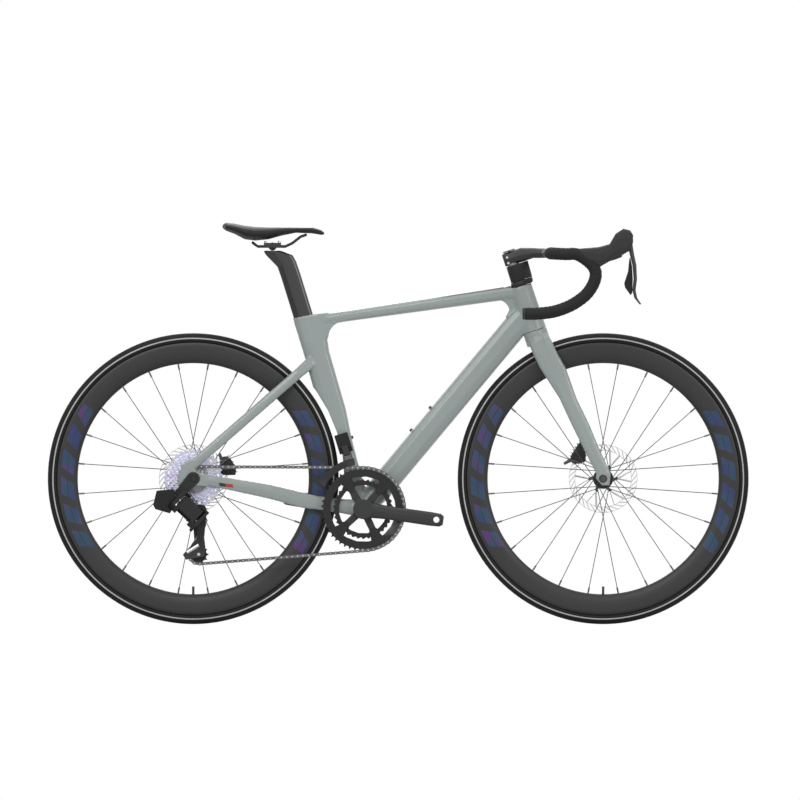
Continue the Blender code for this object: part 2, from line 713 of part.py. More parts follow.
def frame():
    half = SEAT_TUBE_WIDTH / 2
    post = POST_CHORD / 2
    stations = (
        (0.010, 0.020, -0.018, half),
        (0.108, 0.021, -0.020, half),
        (0.165, 0.024, -0.025, half),
        (0.235, 0.031, -0.030, half),
        (0.374, post + 0.0107, -post - 0.0025, half),
        (0.408, post + 0.016, -post - 0.0025, half),
        (SEAT_TUBE_LENGTH - 0.022, post + 0.035, -post - 0.0025, half * 0.95),
        (SEAT_TUBE_LENGTH, post + 0.040, -post - 0.0025, half * 0.92),
    )
    body = loft("frame", [seat_slice(*s) for s in stations], "frame_paint")
    down_end = on_head(0.006, DOWN_TUBE_TOP)
    deep, wide = DOWN_TUBE_DEPTH / 2, DOWN_TUBE_WIDTH / 2
    join(body, straight("down_tube", BB, down_end, ((0.0, deep * 0.75, wide * 1.2), (0.1, deep, wide * 1.1), (0.5, deep, wide), (0.9, deep, wide), (0.985, deep * 0.9, wide * 0.95))))
    top_end = on_head(0.010, TOP_TUBE_TOP)
    deep, wide = TOP_TUBE_DEPTH / 2, TOP_TUBE_WIDTH / 2
    join(body, straight("top_tube", on_seat(-0.005, TOP_TUBE_SEAT), top_end, ((0.0, deep, wide * 0.8), (0.2, deep * 0.9, wide * 0.9), (0.45, deep, wide), (0.85, deep * 1.14, wide * 1.1), (0.99, deep * 1.25, wide * 1.1))))
    radius = HEAD_TUBE_RADIUS
    join(body, turned("head_tube", [(0, HEAD_BOTTOM - 0.004), (radius + 0.001, HEAD_BOTTOM - 0.004), (radius, HEAD_BOTTOM + 0.02), (radius - 0.001, HEAD_TOP + 0.003), (0, HEAD_TOP + 0.003)], "frame_paint", solid(HEAD_FOOT), HEAD_AXIS, 20))
    join(body, rod("bb_shell", BB_SHELL_RADIUS, solid(BB, -BB_HALF), solid(BB, BB_HALF), "frame_paint", 24))
    cut(body, plate("collar_cut", [shifted(COLLAR_LINE, SEAT_TUBE_LENGTH - 0.474)], -0.03, 0.03, "frame_paint"))
    join(body, plate("head_fillet", [HEAD_FILLET], -0.0105, 0.0105, "frame_paint"))
    join(body, plate("seat_fillet", [shifted(SEAT_FILLET, SEAT_TUBE_LENGTH - 0.474)], -0.0125, 0.0125, "frame_paint"))
    frame_stays(body)
    # the seat tube follows the rear wheel, and the head end leaves room for the fork and cover
    cut(body, rod("wheel_arc", TYRE_RADIUS + WHEEL_CLEARANCE, solid(REAR, -STAY_GAP / 2 + 0.0006), solid(REAR, STAY_GAP / 2 - 0.0006), "frame_paint", 40))
    cut(body, rod("bb_bore", SPINDLE_RADIUS + 0.004, solid(BB, -0.2), solid(BB, 0.2), "frame_paint", 20))
    cut(body, rod("axle_bore", AXLE_HOLE, solid(REAR, -0.2), solid(REAR, 0.2), "frame_paint", 16))
    reach = 0.075
    pocket = HEAD_TUBE_RADIUS + 0.0015
    room = [(0, 0.30), (reach, 0.30), (reach, limit_height(reach)), (pocket, limit_height(pocket)), (pocket, HEAD_BOTTOM), (0, HEAD_BOTTOM)]
    cut(body, turned("crown_room", room, "frame_paint", solid(HEAD_FOOT), HEAD_AXIS, 26))
    wide_bore, narrow = STEERER_RADIUS + 0.0075, LOWER_STEERER_RADIUS + 0.002
    room = [
        (0, HEAD_BOTTOM - 0.01),
        (narrow + 0.003, HEAD_BOTTOM - 0.01),
        (narrow + 0.003, HEAD_BOTTOM + BEARING_HEIGHT + GAP),
        (narrow, HEAD_BOTTOM + BEARING_HEIGHT + GAP),
        (wide_bore - 0.002, HEAD_TOP - BEARING_HEIGHT - GAP),
        (wide_bore, HEAD_TOP - BEARING_HEIGHT - GAP),
        (wide_bore, HEAD_TOP + 0.01),
        (0, HEAD_TOP + 0.01),
    ]
    cut(body, turned("head_bore", room, "frame_paint", solid(HEAD_FOOT), HEAD_AXIS, 18))
    seat = [cover_slice(HEAD_TOP + up, 0.045, -0.0240, 0.030) for up in (0, COVER_SEAT)]
    cut(body, loft("cover_seat", seat, "frame_paint"))
    seat = [cover_slice(HEAD_TOP + COVER_SEAT - 0.002 + up, 0.045, -0.040, 0.040) for up in (0, 0.05)]
    cut(body, loft("turning_room", seat, "frame_paint"))
    pocket_floor = SEAT_TUBE_LENGTH - POST_INSERTED - POST_TRAVEL - 0.004
    rings = [
        oval(solid(on_seat(0, up)), (SEAT_OUT.x, 0, SEAT_OUT.y), (0, 1, 0), post + GAP, POST_WIDTH / 2 + GAP, 16, 2.3)
        for up in (pocket_floor, SEAT_TUBE_LENGTH + 0.05)
    ]
    cut(body, loft("post_pocket", rings, "frame_paint"))
    # the hanger lies in a recess outside the right dropout
    cut(body, plate("hanger_recess", [capsule(REAR, 0.0156, HANGER_END, 0.0116, 9)], -REAR_HUB_WIDTH / 2 - 0.0043, -0.1, "frame_paint"))
    return simplified(body)


HANGER_END = REAR + Vector((-0.0305, -0.033))
frame()

hanger_y = -REAR_HUB_WIDTH / 2 - 0.0046
hanger = plate("derailleur_hanger", [capsule(REAR, 0.0153, HANGER_END, 0.0113, 9), circle(REAR, AXLE_HOLE + 0.0001, 16)], hanger_y - 0.0040, hanger_y, "black_alloy")

# Bottom bracket, cranks and chainrings
for hand, side in ((-1, "right"), (1, "left")):
    inside, outside = hand * (BB_HALF + GAP), hand * (BB_HALF + GAP + CUP_WIDTH)
    ring("bearing_cup_" + side, SPINDLE_RADIUS + GAP, CUP_RADIUS, solid(BB, inside), solid(BB, outside), "black_alloy", 16)
ARM_FACE = BB_HALF + GAP + CUP_WIDTH + RUN
PEDAL_FACE = Q_FACTOR / 2
rod("crank_spindle", SPINDLE_RADIUS, solid(BB, -ARM_FACE - 0.0140), solid(BB, ARM_FACE + 0.0140), "steel", 16)


def crank_arm(side, hand, angle):
    """A crank arm: a boss on the spindle, a blade that leans outwards, and the pedal eye."""
    along = Vector((math.cos(angle), math.sin(angle)))
    square = Vector((-along.y, along.x))
    half = CRANK_WIDTH / 2
    rings = []
    reach = CRANK_LENGTH
    outer_shift = PEDAL_FACE - CRANK_THICKNESS / 2
    for share, wide, y, thick in (
        (-0.125, 0.62, ARM_FACE + 0.0115, 0.0075),
        (-0.085, 1.10, ARM_FACE + 0.0110, 0.0090),
        (0.09, 1.12, ARM_FACE + 0.0110, 0.0090),
        (0.30, 0.98, ARM_FACE + 0.0150, 0.0080),
        (0.60, 0.98, outer_shift - 0.002, 0.0065),
        (0.92, 1.0, outer_shift, CRANK_THICKNESS / 2),
        (1.05, 0.93, outer_shift, CRANK_THICKNESS / 2),
        (1.095, 0.62, outer_shift, CRANK_THICKNESS / 2 - 0.001),
    ):
        at = BB + along * (reach * share)
        rings.append(oval(solid(at, hand * y), (square.x, 0, square.y), (0, 1, 0), half * wide, thick, 12, 3.2))
    arm = loft("crank_arm_" + side, rings, "carbon")
    join(arm, rod("boss", 0.0235, solid(BB, hand * ARM_FACE), solid(BB, hand * (ARM_FACE + 0.0215)), "carbon", 18))
    if hand < 0:
        tab_in = SMALL_RING_Y - SPROCKET_THICKNESS / 2 - GAP
        tab_out = BIG_RING_Y + SPROCKET_THICKNESS / 2 + GAP
        for turn in SPIDER_TURNS:
            heading = angle + math.radians(turn)
            end = on_circle(BB, BOLT_CIRCLE_RADIUS, heading)
            root = on_circle(BB, 0.0225, heading)
            blade = plate("spider", [capsule(root, 0.0085, end, 0.0080, 7)], tab_in, tab_out, "carbon")
            cut(blade, rod("cup_room", CUP_RADIUS + 0.0010, solid(BB, tab_in + 0.01), solid(BB, -ARM_FACE - 0.001), "carbon", 17))
            join(arm, blade)
    cut(arm, rod("spindle_bore", SPINDLE_RADIUS + GAP, solid(BB, 0), solid(BB, hand * (ARM_FACE + 0.0145)), "carbon", 16))
    eye = BB + along * reach
    cut(arm, rod("pedal_hole", PEDAL_HOLE_RADIUS, solid(eye, hand * 0.04), solid(eye, hand * 0.09), "carbon", 12))
    return arm


SPIDER_TURNS = (56.5, -56.5, 129, -129)
crank_arm("right", -1, CRANK_ANGLE)
crank_arm("left", 1, CRANK_ANGLE + math.pi)


def chainring(name, teeth, y, phase, inner, full):
    """A toothed ring with four tabs that reach in to the spider's bolts."""
    bore = []
    turns = sorted((math.degrees(CRANK_ANGLE) + t) % 360 for t in SPIDER_TURNS)
    for turn in turns:
        bore += arc((0, 0), inner, turn - 17, turn - 11, 2)
        bore += arc((0, 0), BOLT_CIRCLE_RADIUS - 0.0075, turn - 7, turn + 7, 3)
        bore += arc((0, 0), inner, turn + 11, turn + 17, 2)
        after = turns[(turns.index(turn) + 1) % 4] + (360 if turn == turns[-1] else 0)
        steps = max(int((after - turn - 34) / 14), 1)
        bore += arc((0, 0), inner, turn + 17, after - 17, steps + 1)[1:-1]
    loops = [around(BB, toothed(teeth, phase, full)), around(BB, bore)]
    return plate(name, loops, y - SPROCKET_THICKNESS / 2, y + SPROCKET_THICKNESS / 2, "black_alloy")


chainring("big_chainring", BIG_TEETH, BIG_RING_Y, PHASES[0], 0.076, True)
chainring("small_chainring", SMALL_TEETH, SMALL_RING_Y, 0.0, 0.0565, False)


def chain():
    """The chain as one closed ladder: two rows of plates joined by the rollers. Straight runs
    show every other roller."""
    count = len(PINS)
    bm = bmesh.new()
    high = PLATE_HEIGHT / 2
    roller = 0.0032
    stations = []
    for i, pin in enumerate(PINS):
        after = PINS[(i + 1) % count]
        before = PINS[i - 1]
        ahead = (after - before).normalized()
        up = Vector((-ahead.z, 0, ahead.x)).normalized()
        nearly_straight = (after - pin).normalized().dot((pin - before).normalized()) > 0.99
        if nearly_straight and i % 2:
            continue
        reach = ahead * (ROLLER_LENGTH / 2)
        stations.append((pin - reach, up))
        stations.append((pin + reach, up))
    rails = []
    for hand in (-1, 1):
        inside, outside = CHAIN_INNER_WIDTH / 2, CHAIN_WIDTH / 2
        rows = []
        for place, up in stations:
            rows.append(
                [
                    bm.verts.new(place + up * h + Vector((0, hand * w, 0)))
                    for h, w in ((-roller, inside), (-high, outside), (high, outside), (roller, inside))
                ]
            )
        rails.append(rows)
        for i, row in enumerate(rows):
            nxt = rows[(i + 1) % len(rows)]
            for k in range(4):
                j = (k + 1) % 4
                rung = k == 3 and i % 2 == 0
                if not rung:
                    bm.faces.new((row[k], row[j], nxt[j], nxt[k]))
    left, right = rails
    for i in range(0, len(stations), 2):
        a, b, c, d = left[i], left[i + 1], right[i], right[i + 1]
        bm.faces.new((a[3], b[3], d[3], c[3]))
        bm.faces.new((a[0], b[0], d[0], c[0]))
        bm.faces.new((a[0], a[3], c[3], c[0]))
        bm.faces.new((b[0], b[3], d[3], d[0]))
    return finish("chain", bm, "chain_steel")


chain()


# Rear derailleur: a slanted four-bar linkage that moves the cage sideways under the cogs
SLANT = math.radians(30)
LINK_RUN = Vector((0.72, 0, -0.69)).normalized()
LINK_UP = Vector((-LINK_RUN.z, 0, LINK_RUN.x))
PIVOT_AXIS = (LINK_UP * math.cos(SLANT) + Vector((0, 1, 0)) * math.sin(SLANT)).normalized()
LINK_SIDE = PIVOT_AXIS.cross(LINK_RUN)
KNUCKLE_Y = -REAR_HUB_WIDTH / 2 - 0.0135
P_PIVOT = solid(CAGE_PIVOT + Vector((0.0008, -0.0045)), KNUCKLE_Y)
B_PIVOT = P_PIVOT - LINK_RUN * LINK_LENGTH
LOCAL = Matrix((LINK_RUN, LINK_SIDE, PIVOT_AXIS)).transposed()
LINK_OFFSET = 0.006
LINK_LOW, LINK_HIGH = -0.036, 0.007


def in_link(x, y, z):
    """A point given along the links, across them and along their pivots."""
    return B_PIVOT + LOCAL @ Vector((x, y, z))


def link_box(name, low, high, finish_name):
    size = [b - a for a, b in zip(low, high)]
    middle = in_link(*[(a + b) / 2 for a, b in zip(low, high)])
    return box(name, middle, size, finish_name, LOCAL)


def derailleur():
    for name, hand in (("derailleur_outer_link", -1), ("derailleur_inner_link", 1)):
        y = hand * LINK_OFFSET
        link = link_box(name, (0, y - 0.0024, LINK_LOW + 0.002), (LINK_LENGTH, y + 0.0024, LINK_HIGH - 0.002), "dark_plastic")
        for x in (0, LINK_LENGTH):
            join(link, rod("barrel", 0.0036, in_link(x, y, LINK_LOW), in_link(x, y, LINK_HIGH), "dark_plastic", 12))
    for name, x0, x1 in (("b_knuckle", -0.016, -0.0066), ("p_knuckle", LINK_LENGTH + 0.0066, LINK_LENGTH + 0.014)):
        reach = 0.006 if x0 < 0 else LINK_LENGTH - 0.006
        lug0, lug1 = min(x0 + 0.001, reach), max(x1 - 0.001, reach)
        inner = 0.0125 if x0 < 0 else 0.022
        body = link_box("derailleur_" + name, (x0, -0.0125, LINK_LOW - 0.0045), (x1, inner, LINK_HIGH + 0.0045), "dark_plastic")
        join(body, link_box("lug", (lug0, -0.0122, LINK_HIGH + GAP), (lug1, 0.0122, LINK_HIGH + 0.0042), "dark_plastic"))
        join(body, link_box("lug", (lug0, -0.0122, LINK_LOW - 0.0042), (lug1, 0.0122, LINK_LOW - GAP), "dark_plastic"))
        if x0 < 0:
            drum = rod("drum", 0.0118, solid(HANGER_END, hanger_y), solid(HANGER_END, KNUCKLE_Y - 0.008), "dark_plastic", 20)
        else:
            face = CHAIN_Y_REAR - CAGE_GAP / 2 - CAGE_PLATE - GAP
            drum = rod("drum", 0.0165, solid(CAGE_PIVOT, face + 0.002), solid(CAGE_PIVOT, face - 0.0080), "dark_plastic", 24)
        join(body, drum)
        face = hanger_y - 0.0040 - GAP if x0 < 0 else face
        cut(body, box("room", (REAR.x, face + 0.05, REAR.y), (0.3, 0.1, 0.4), "dark_plastic"))


derailleur()
battery_shape = [HANGER_END + Vector(p) for p in ((-0.0550, 0.0050), (-0.0150, 0.0090), (-0.0030, -0.0130), (-0.0240, -0.0480), (-0.0580, -0.0380), (-0.0630, -0.0280))]
battery = plate("derailleur_battery", [[tuple(p) for p in battery_shape]], KNUCKLE_Y - 0.0125, KNUCKLE_Y + 0.0075, "dark_plastic")
cut(battery, rod("room", 0.0118 + GAP, solid(HANGER_END, 0), solid(HANGER_END, -0.2), "dark_plastic", 20))
cut(battery, link_box("room", (-0.016 - GAP, -0.0125 - GAP, LINK_LOW - 0.0045 - GAP), (LINK_LENGTH, 0.0125 + GAP, LINK_HIGH + 0.0045 + GAP), "dark_plastic"))


def pulley(name, centre, phase):
    loops = [around(centre, toothed(PULLEY_TEETH, phase, True)), around(centre, circle((0, 0), 0.0029, 12))]
    return plate(name, loops, CHAIN_Y_REAR - SPROCKET_THICKNESS / 2, CHAIN_Y_REAR + SPROCKET_THICKNESS / 2, "dark_plastic")


pulley("guide_pulley", GUIDE, PHASES[2])
pulley("tension_pulley", TENSION, PHASES[1])


def cage():
    """Two plates joined by the pulley axles. The outer plate is long and has the foot."""
    y_out = CHAIN_Y_REAR - CAGE_GAP / 2
    y_in = CHAIN_Y_REAR + CAGE_GAP / 2
    outline = [
        (0.0160, 0.004), (0.0125, 0.013), (0.0040, 0.017), (-0.0060, 0.014), (-0.0130, 0.004),
        (-0.0080, -0.030), (-0.0065, -0.062), (-0.0400, -0.100), (-0.0330, -0.112),
        (0.0100, -0.104), (0.0130, -0.086), (0.0100, -0.060),
    ]
    body = plate("derailleur_cage", [around(CAGE_PIVOT, outline)], y_out - CAGE_PLATE, y_out, "black_alloy")
    inner = [capsule(GUIDE, 0.0080, TENSION, 0.0075, 6)]
    join(body, plate("inner", inner, y_in, y_in + CAGE_PLATE, "black_alloy"))
    for centre in (GUIDE, TENSION):
        join(body, rod("pin", 0.0026, solid(centre, y_out - CAGE_PLATE / 2), solid(centre, y_in + CAGE_PLATE / 2), "black_alloy", 10))
    return body


cage()

# Front derailleur: a body on the seat tube, one link with ears at both ends, and the cage
FD_RADIUS = pitch_radius(BIG_TEETH) + 0.0075
FD_LINK = 0.020
FD_LEAN = math.radians(20)
FD_TURN = Matrix.Rotation(SEAT_ANGLE - math.pi / 2, 3, "Y")
FD_PIVOT = solid(on_seat(0.002, 0.1520), -0.0322)
FD_DOWN = FD_TURN @ Matrix.Rotation(-FD_LEAN, 3, "X") @ Vector((0, 0, -1))
FD_TIP = FD_PIVOT + FD_DOWN * FD_LINK


def ears(body, centre, y0, y1, low, high):
    """Two ears beside the link's end, given from y0 to y1 and from low to high around centre."""
    for hand in (-1, 1):
        middle = centre + FD_TURN @ Vector((hand * 0.0087, 0, (low + high) / 2))
        middle.y = (y0 + y1) / 2
        join(body, box("ear", middle, (0.0028, abs(y1 - y0), high - low), "dark_plastic", FD_TURN))


def front_derailleur():
    wall = -SEAT_TUBE_WIDTH / 2 - GAP
    at = solid(on_seat(0.002, 0.1600), wall - 0.0053)
    body = box("front_derailleur_body", at, (0.032, 0.0106, 0.046), "dark_plastic", FD_TURN)
    ears(body, FD_PIVOT, wall - 0.006, FD_PIVOT.y - 0.0030, -0.0035, 0.0035)
    link = FD_TURN @ Matrix.Rotation(-FD_LEAN, 3, "X")
    box("front_derailleur_link", (FD_PIVOT + FD_TIP) / 2, (0.014, 0.0046, FD_LINK + 0.005), "dark_plastic", link)
    half = 0.0056
    band = around(BB, arc((0, 0), FD_RADIUS, 100, 150, 8) + arc((0, 0), FD_RADIUS + 0.0165, 148, 100, 7))
    cage = plate("front_derailleur_cage", [band], BIG_RING_Y - half - 0.0012, BIG_RING_Y - half, "black_alloy")
    join(cage, plate("inner", [band], BIG_RING_Y + half, BIG_RING_Y + half + 0.0012, "black_alloy"))
    for low, high in ((101, 106), (144, 147)):
        bridge = around(BB, arc((0, 0), FD_RADIUS + 0.0125, low, high, 3) + arc((0, 0), FD_RADIUS + 0.0160, high, low, 3))
        join(cage, plate("bridge", [bridge], BIG_RING_Y - half - 0.0006, BIG_RING_Y + half + 0.0006, "black_alloy"))
    ears(cage, FD_TIP, BIG_RING_Y + half + 0.0004, FD_TIP.y + 0.0030, -0.0180, 0.0035)


front_derailleur()


# Fork
def fork():
    """Steerer, crown and both blades, with the crown shaped to turn under the down tube."""
    tip = FRONT_HUB_WIDTH / 2 + GAP + 0.0062
    blade = (
        (0.0150, -0.0030, -0.0155, tip, 0.0060),
        (0.0175, -0.0175, -0.0000, tip, 0.0062),
        (0.0182, -0.0168, 0.0120, tip, 0.0065),
        (-0.0078, -0.0455, 0.0687, tip - 0.0045, 0.0070),
        (-0.0327, -0.0753, 0.1285, tip - 0.0105, 0.0075),
        (-0.0606, -0.1016, 0.1857, tip - 0.0160, 0.0080),
        (-0.0864, -0.1483, 0.2580, tip - 0.0225, 0.0088),
        (-0.1050, -0.1640, 0.2910, tip - 0.0253, 0.0094),
    )
    shape = None
    crown = [(-1, 0.004, 0.3440, 0.0255, 0.7), (-1, 0.002, 0.3540, 0.0170, 0.95), (0, 0.0, 0.3560, 0.0, 1.0)]
    rings = []
    for front, back, lift, y, thick in blade:
        centre = (FRONT.x + (front + back) / 2, -y, FRONT.y + lift)
        rings.append(oval(centre, (1, 0, 0), (0, -1, 0), (front - back) / 2, thick, 10, 2.3))
    for hand, out, up, y, rise in crown:
        thick = Vector((HEAD_UP.x * rise, -math.sqrt(max(1 - rise * rise, 0)), HEAD_UP.y * rise))
        rings.append(oval(solid(on_head(out, up), -y), (HEAD_OUT.x, 0, HEAD_OUT.y), thick, 0.0265, 0.0150, 10, 2.3))
    mirrored = []
    for points in reversed(rings[:-1]):
        mirrored.append([Vector((p.x, -p.y, p.z)) for p in points])
    shape = loft("fork", rings + mirrored, "frame_paint")
    low, high = STEERER_RADIUS, LOWER_STEERER_RADIUS
    steerer = [(0, 0.345), (HEAD_TUBE_RADIUS + 0.001, 0.345), (HEAD_TUBE_RADIUS + 0.001, CROWN_HEIGHT), (high, CROWN_HEIGHT), (high, CROWN_HEIGHT + 0.012), (low, HEAD_TOP - 0.012), (low, STEM_TOP - 0.010), (0, STEM_TOP - 0.010)]
    join(shape, turned("steerer", steerer, "frame_paint", solid(HEAD_FOOT), HEAD_AXIS, 20))
    cut(shape, rod("tyre_room", TYRE_RADIUS + 0.006, solid(FRONT, -0.0195), solid(FRONT, 0.0195), "frame_paint", 36))
    lower = 0.0008
    near, far = HEAD_TUBE_RADIUS + 0.0012, 0.09
    room = [(near, limit_height(near) - lower), (far, limit_height(far) - lower), (far, 0.42), (near, 0.42)]
    cut(shape, turned("turning_room", room, "frame_paint", solid(HEAD_FOOT), HEAD_AXIS, 20))
    cut(shape, rod("axle_hole", AXLE_HOLE, solid(FRONT, -0.2), solid(FRONT, 0.2), "frame_paint", 16))
    return simplified(shape)


fork()
rod("front_thru_axle", AXLE_RADIUS, solid(FRONT, -FRONT_HUB_WIDTH / 2 - 0.0125), solid(FRONT, FRONT_HUB_WIDTH / 2 + 0.0125), "black_alloy", 16)
rod("rear_thru_axle", AXLE_RADIUS, solid(REAR, -REAR_HUB_WIDTH / 2 - 0.0105), solid(REAR, REAR_HUB_WIDTH / 2 + 0.0135), "black_alloy", 16)

# Headset: two bearings in the head tube, a fixed cover, and the hose cover that turns
low = (LOWER_STEERER_RADIUS + GAP) / math.cos(math.pi / 16)
ring("headset_lower_bearing", low, LOWER_STEERER_RADIUS + 0.0042, solid(on_head(0, HEAD_BOTTOM + 0.0001)), solid(on_head(0, HEAD_BOTTOM + BEARING_HEIGHT)), "steel", 16)
low = (STEERER_RADIUS + GAP) / math.cos(math.pi / 16)
ring("headset_upper_bearing", low, STEERER_RADIUS + 0.0067, solid(on_head(0, HEAD_TOP - BEARING_HEIGHT)), solid(on_head(0, HEAD_TOP - GAP)), "steel", 16)


fixed = loft("headset_fixed_cover", [cover_slice(HEAD_TOP + GAP, 0.0290, -0.0215, 0.0225), cover_slice(HEAD_TOP + 0.004, 0.0325, -0.0215, 0.0235), cover_slice(COVER_TOP, 0.0330, -0.0190, 0.0205)], "dark_plastic")
turning = loft("hose_cover", [cover_slice(COVER_TOP + GAP, 0.0335, -0.0180, 0.0200), cover_slice(STEM_BOTTOM - GAP, 0.0350, -0.0175, 0.0200)], "dark_plastic")
for piece in (fixed, turning):
    cut(piece, rod("steerer_room", STEERER_RADIUS + GAP, solid(on_head(0, 0.4)), solid(on_head(0, 0.7)), "dark_plastic", 16))

# Cockpit: stem and bar in one, with taped drops
BAR_CENTRE = on_head(0, STEM_BOTTOM) + Vector((STEM_REACH, BAR_RISE))
DROP_SHAPE = ((0.62, 0.022), (0.89, 0.163), (1.0, 0.30), (0.983, 0.454), (0.865, 0.625), (0.692, 0.757), (0.43, 0.88), (0.11, 0.965), (-0.23, 0.997), (-0.50, 1.0))


def drop_points(hand):
    half = BAR_WIDTH / 2
    points = [
        Vector((BAR_CENTRE.x, hand * (half - 0.050), BAR_CENTRE.y)),
        Vector((BAR_CENTRE.x + 0.004, hand * (half - 0.022), BAR_CENTRE.y)),
        Vector((BAR_CENTRE.x + 0.020, hand * (half - 0.005), BAR_CENTRE.y - 0.001)),
        Vector((BAR_CENTRE.x + 0.042, hand * half, BAR_CENTRE.y - 0.002)),
    ]
    points += [Vector((BAR_CENTRE.x + BAR_REACH * a, hand * half, BAR_CENTRE.y - BAR_DROP * b)) for a, b in DROP_SHAPE]
    return points


def bar_path(hand):
    return smooth_path(drop_points(hand), 1)


def cockpit():
    right, left = bar_path(-1), bar_path(1)
    middle = [Vector((BAR_CENTRE.x, y, BAR_CENTRE.y)) for y in (-0.075, 0.0, 0.075)]
    path = right[::-1] + middle + left
    sizes = []
    for point in path:
        flat = min(max((BAR_WIDTH / 2 - 0.050 - abs(point.y)) / 0.035, 0), 1)
        sizes.append((BAR_RADIUS + (BAR_TOP_DEPTH / 2 - BAR_RADIUS) * flat, BAR_RADIUS + (BAR_TOP_HEIGHT / 2 - BAR_RADIUS) * flat))
    bar = sweep("cockpit", path, sizes, "carbon", (0, 1, 0), 8)
    rings = []
    mid, tall = (STEM_BOTTOM + GAP + STEM_TOP) / 2, (STEM_TOP - STEM_BOTTOM - GAP) / 2
    for out, high, half, wide in ((-0.0185, mid - 0.0005, tall - 0.0018, 0.013), (-0.010, mid, tall, 0.0178), (0.008, mid, tall, 0.0190), (0.0285, mid, tall, 0.0190)):
        at = on_head(out, high)
        rings.append(oval(solid(at), (HEAD_UP.x, 0, HEAD_UP.y), (0, 1, 0), half, wide, 12, 3.0))
    for x, z, half, wide in ((0.047, 0.0008, 0.0119, 0.0195), (0.059, 0.0003, 0.0116, 0.0205), (0.0740, 0.0004, 0.0112, 0.0240), (0.0930, 0.0, 0.0086, 0.0300)):
        at = on_head(0, STEM_BOTTOM) + Vector((x, BAR_RISE + z))
        rings.append(oval(solid(at), (0, 0, 1), (0, 1, 0), half, wide, 12, 2.6))
    join(bar, loft("stem", rings, "carbon"))
    start = solid(on_head(0, STEM_BOTTOM - 0.02))
    cut(bar, rod("steerer_bore", STEERER_RADIUS + GAP, start, solid(on_head(0, STEM_TOP - 0.0095)), "carbon", 16))
    cut(bar, rod("cap_hole", 0.0033, start, solid(on_head(0, STEM_TOP + 0.02)), "carbon", 12))
    return bar


cockpit()
cap = [(0, STEM_TOP - 0.0092), (0.0029, STEM_TOP - 0.0092), (0.0029, STEM_TOP + GAP), (0.0150, STEM_TOP + GAP), (0.0140, STEM_TOP + 0.0030), (0, STEM_TOP + 0.0034)]
turned("top_cap", cap, "black_alloy", solid(HEAD_FOOT), HEAD_AXIS, 20)


def taped(name, hand, radius, finish_name, back=0.0, on=0.0):
    """A tube round the taped length of the bar."""
    path = bar_path(hand)
    first = next(i for i, p in enumerate(path) if abs(p.y) > TAPE_START)
    return sweep(name, path, [(radius, radius)] * len(path), finish_name, (1, 0, 0), 8, first, back, on)


def controls(side, hand):
    outer = BAR_RADIUS + TAPE_THICKNESS
    tape = taped("bar_tape_" + side, hand, outer, "tape")
    cut(tape, taped("bore", hand, (BAR_RADIUS + GAP) / math.cos(math.pi / 8), "tape", 0.001, 0.02))
    end = bar_path(hand)[-1]
    back = (bar_path(hand)[-1] - bar_path(hand)[-2]).normalized()
    rod("bar_plug_" + side, outer - 0.001, end + back * GAP, end + back * 0.005, "rubber", 12)
    # hood, in slices square to the bike, over the bend of the bar
    y = hand * BAR_WIDTH / 2
    hood = []
    for x, top, low_z, half in (
        (0.070, 0.0110, -0.012, 0.0130), (0.097, 0.0130, -0.026, 0.0170), (0.119, 0.0150, -0.0330, 0.0172),
        (0.143, 0.0219, -0.0190, 0.0165), (0.157, 0.0460, -0.0150, 0.0158), (0.175, 0.0577, -0.0080, 0.0150),
        (0.191, 0.0540, 0.0020, 0.0135), (0.198, 0.0430, 0.0180, 0.0100),
    ):
        z = BAR_CENTRE.y + (top + low_z) / 2
        hood.append(oval((BAR_CENTRE.x + x, y, z), (0, 0, 1), (0, 1, 0), (top - low_z) / 2, half, 10, 2.3))
    body = loft("hood_" + side, hood, "rubber")
    cut(body, taped("bar_room", hand, outer + GAP, "rubber"))
    slot = box("slot", (BAR_CENTRE.x + 0.192, y, BAR_CENTRE.y + 0.006), (0.040, LEVER_WIDTH + 0.003, 0.062), "rubber")
    cut(body, slot)
    # brake lever blade
    pivot = Vector((BAR_CENTRE.x + 0.1900, y, BAR_CENTRE.y + 0.0270))
    rings = []
    for x, z, deep, wide in (
        (0.188, 0.034, 0.003, 0.8), (0.190, 0.027, 0.0058, 1.0), (0.1945, 0.000, 0.0055, 1.0), (0.2010, -0.028, 0.0048, 1.1),
        (0.2030, -0.060, 0.0042, 1.2), (0.2000, -0.086, 0.0040, 1.15), (0.2040, -0.104, 0.0036, 1.0), (0.2150, -0.119, 0.0026, 0.7),
    ):
        centre = Vector((BAR_CENTRE.x + x, y, BAR_CENTRE.y + z))
        rings.append(oval(centre, (1, 0, 0), (0, 1, 0), deep, LEVER_WIDTH / 2 * wide, 8, 2.2))
    lever = loft("brake_lever_" + side, rings, "carbon")
    cut(lever, rod("pin_bore", 0.0017 + GAP, pivot - Vector((0, 0.02, 0)), pivot + Vector((0, 0.02, 0)), "carbon", 8))
    paddle_shape = ((0.189, -0.012), (0.186, -0.042), (0.177, -0.070), (0.179, -0.080), (0.192, -0.098), (0.1960, -0.092), (0.1972, -0.060), (0.1955, -0.030), (0.1913, -0.010))
    outline = [(BAR_CENTRE.x + a, BAR_CENTRE.y + b) for a, b in paddle_shape]
    near = y - hand * 0.0035
    plate("shift_paddle_" + side, [outline], near - 0.0018, near + 0.0018, "dark_plastic")
    rod("lever_pin_" + side, 0.0017, pivot - Vector((0, 0.0095, 0)), pivot + Vector((0, 0.0095, 0)), "steel", 8)
    cut(body, rod("pin_seat", 0.0017 + GAP, pivot - Vector((0, 0.0098, 0)), pivot + Vector((0, 0.0098, 0)), "rubber", 8))


controls("right", -1)
controls("left", 1)


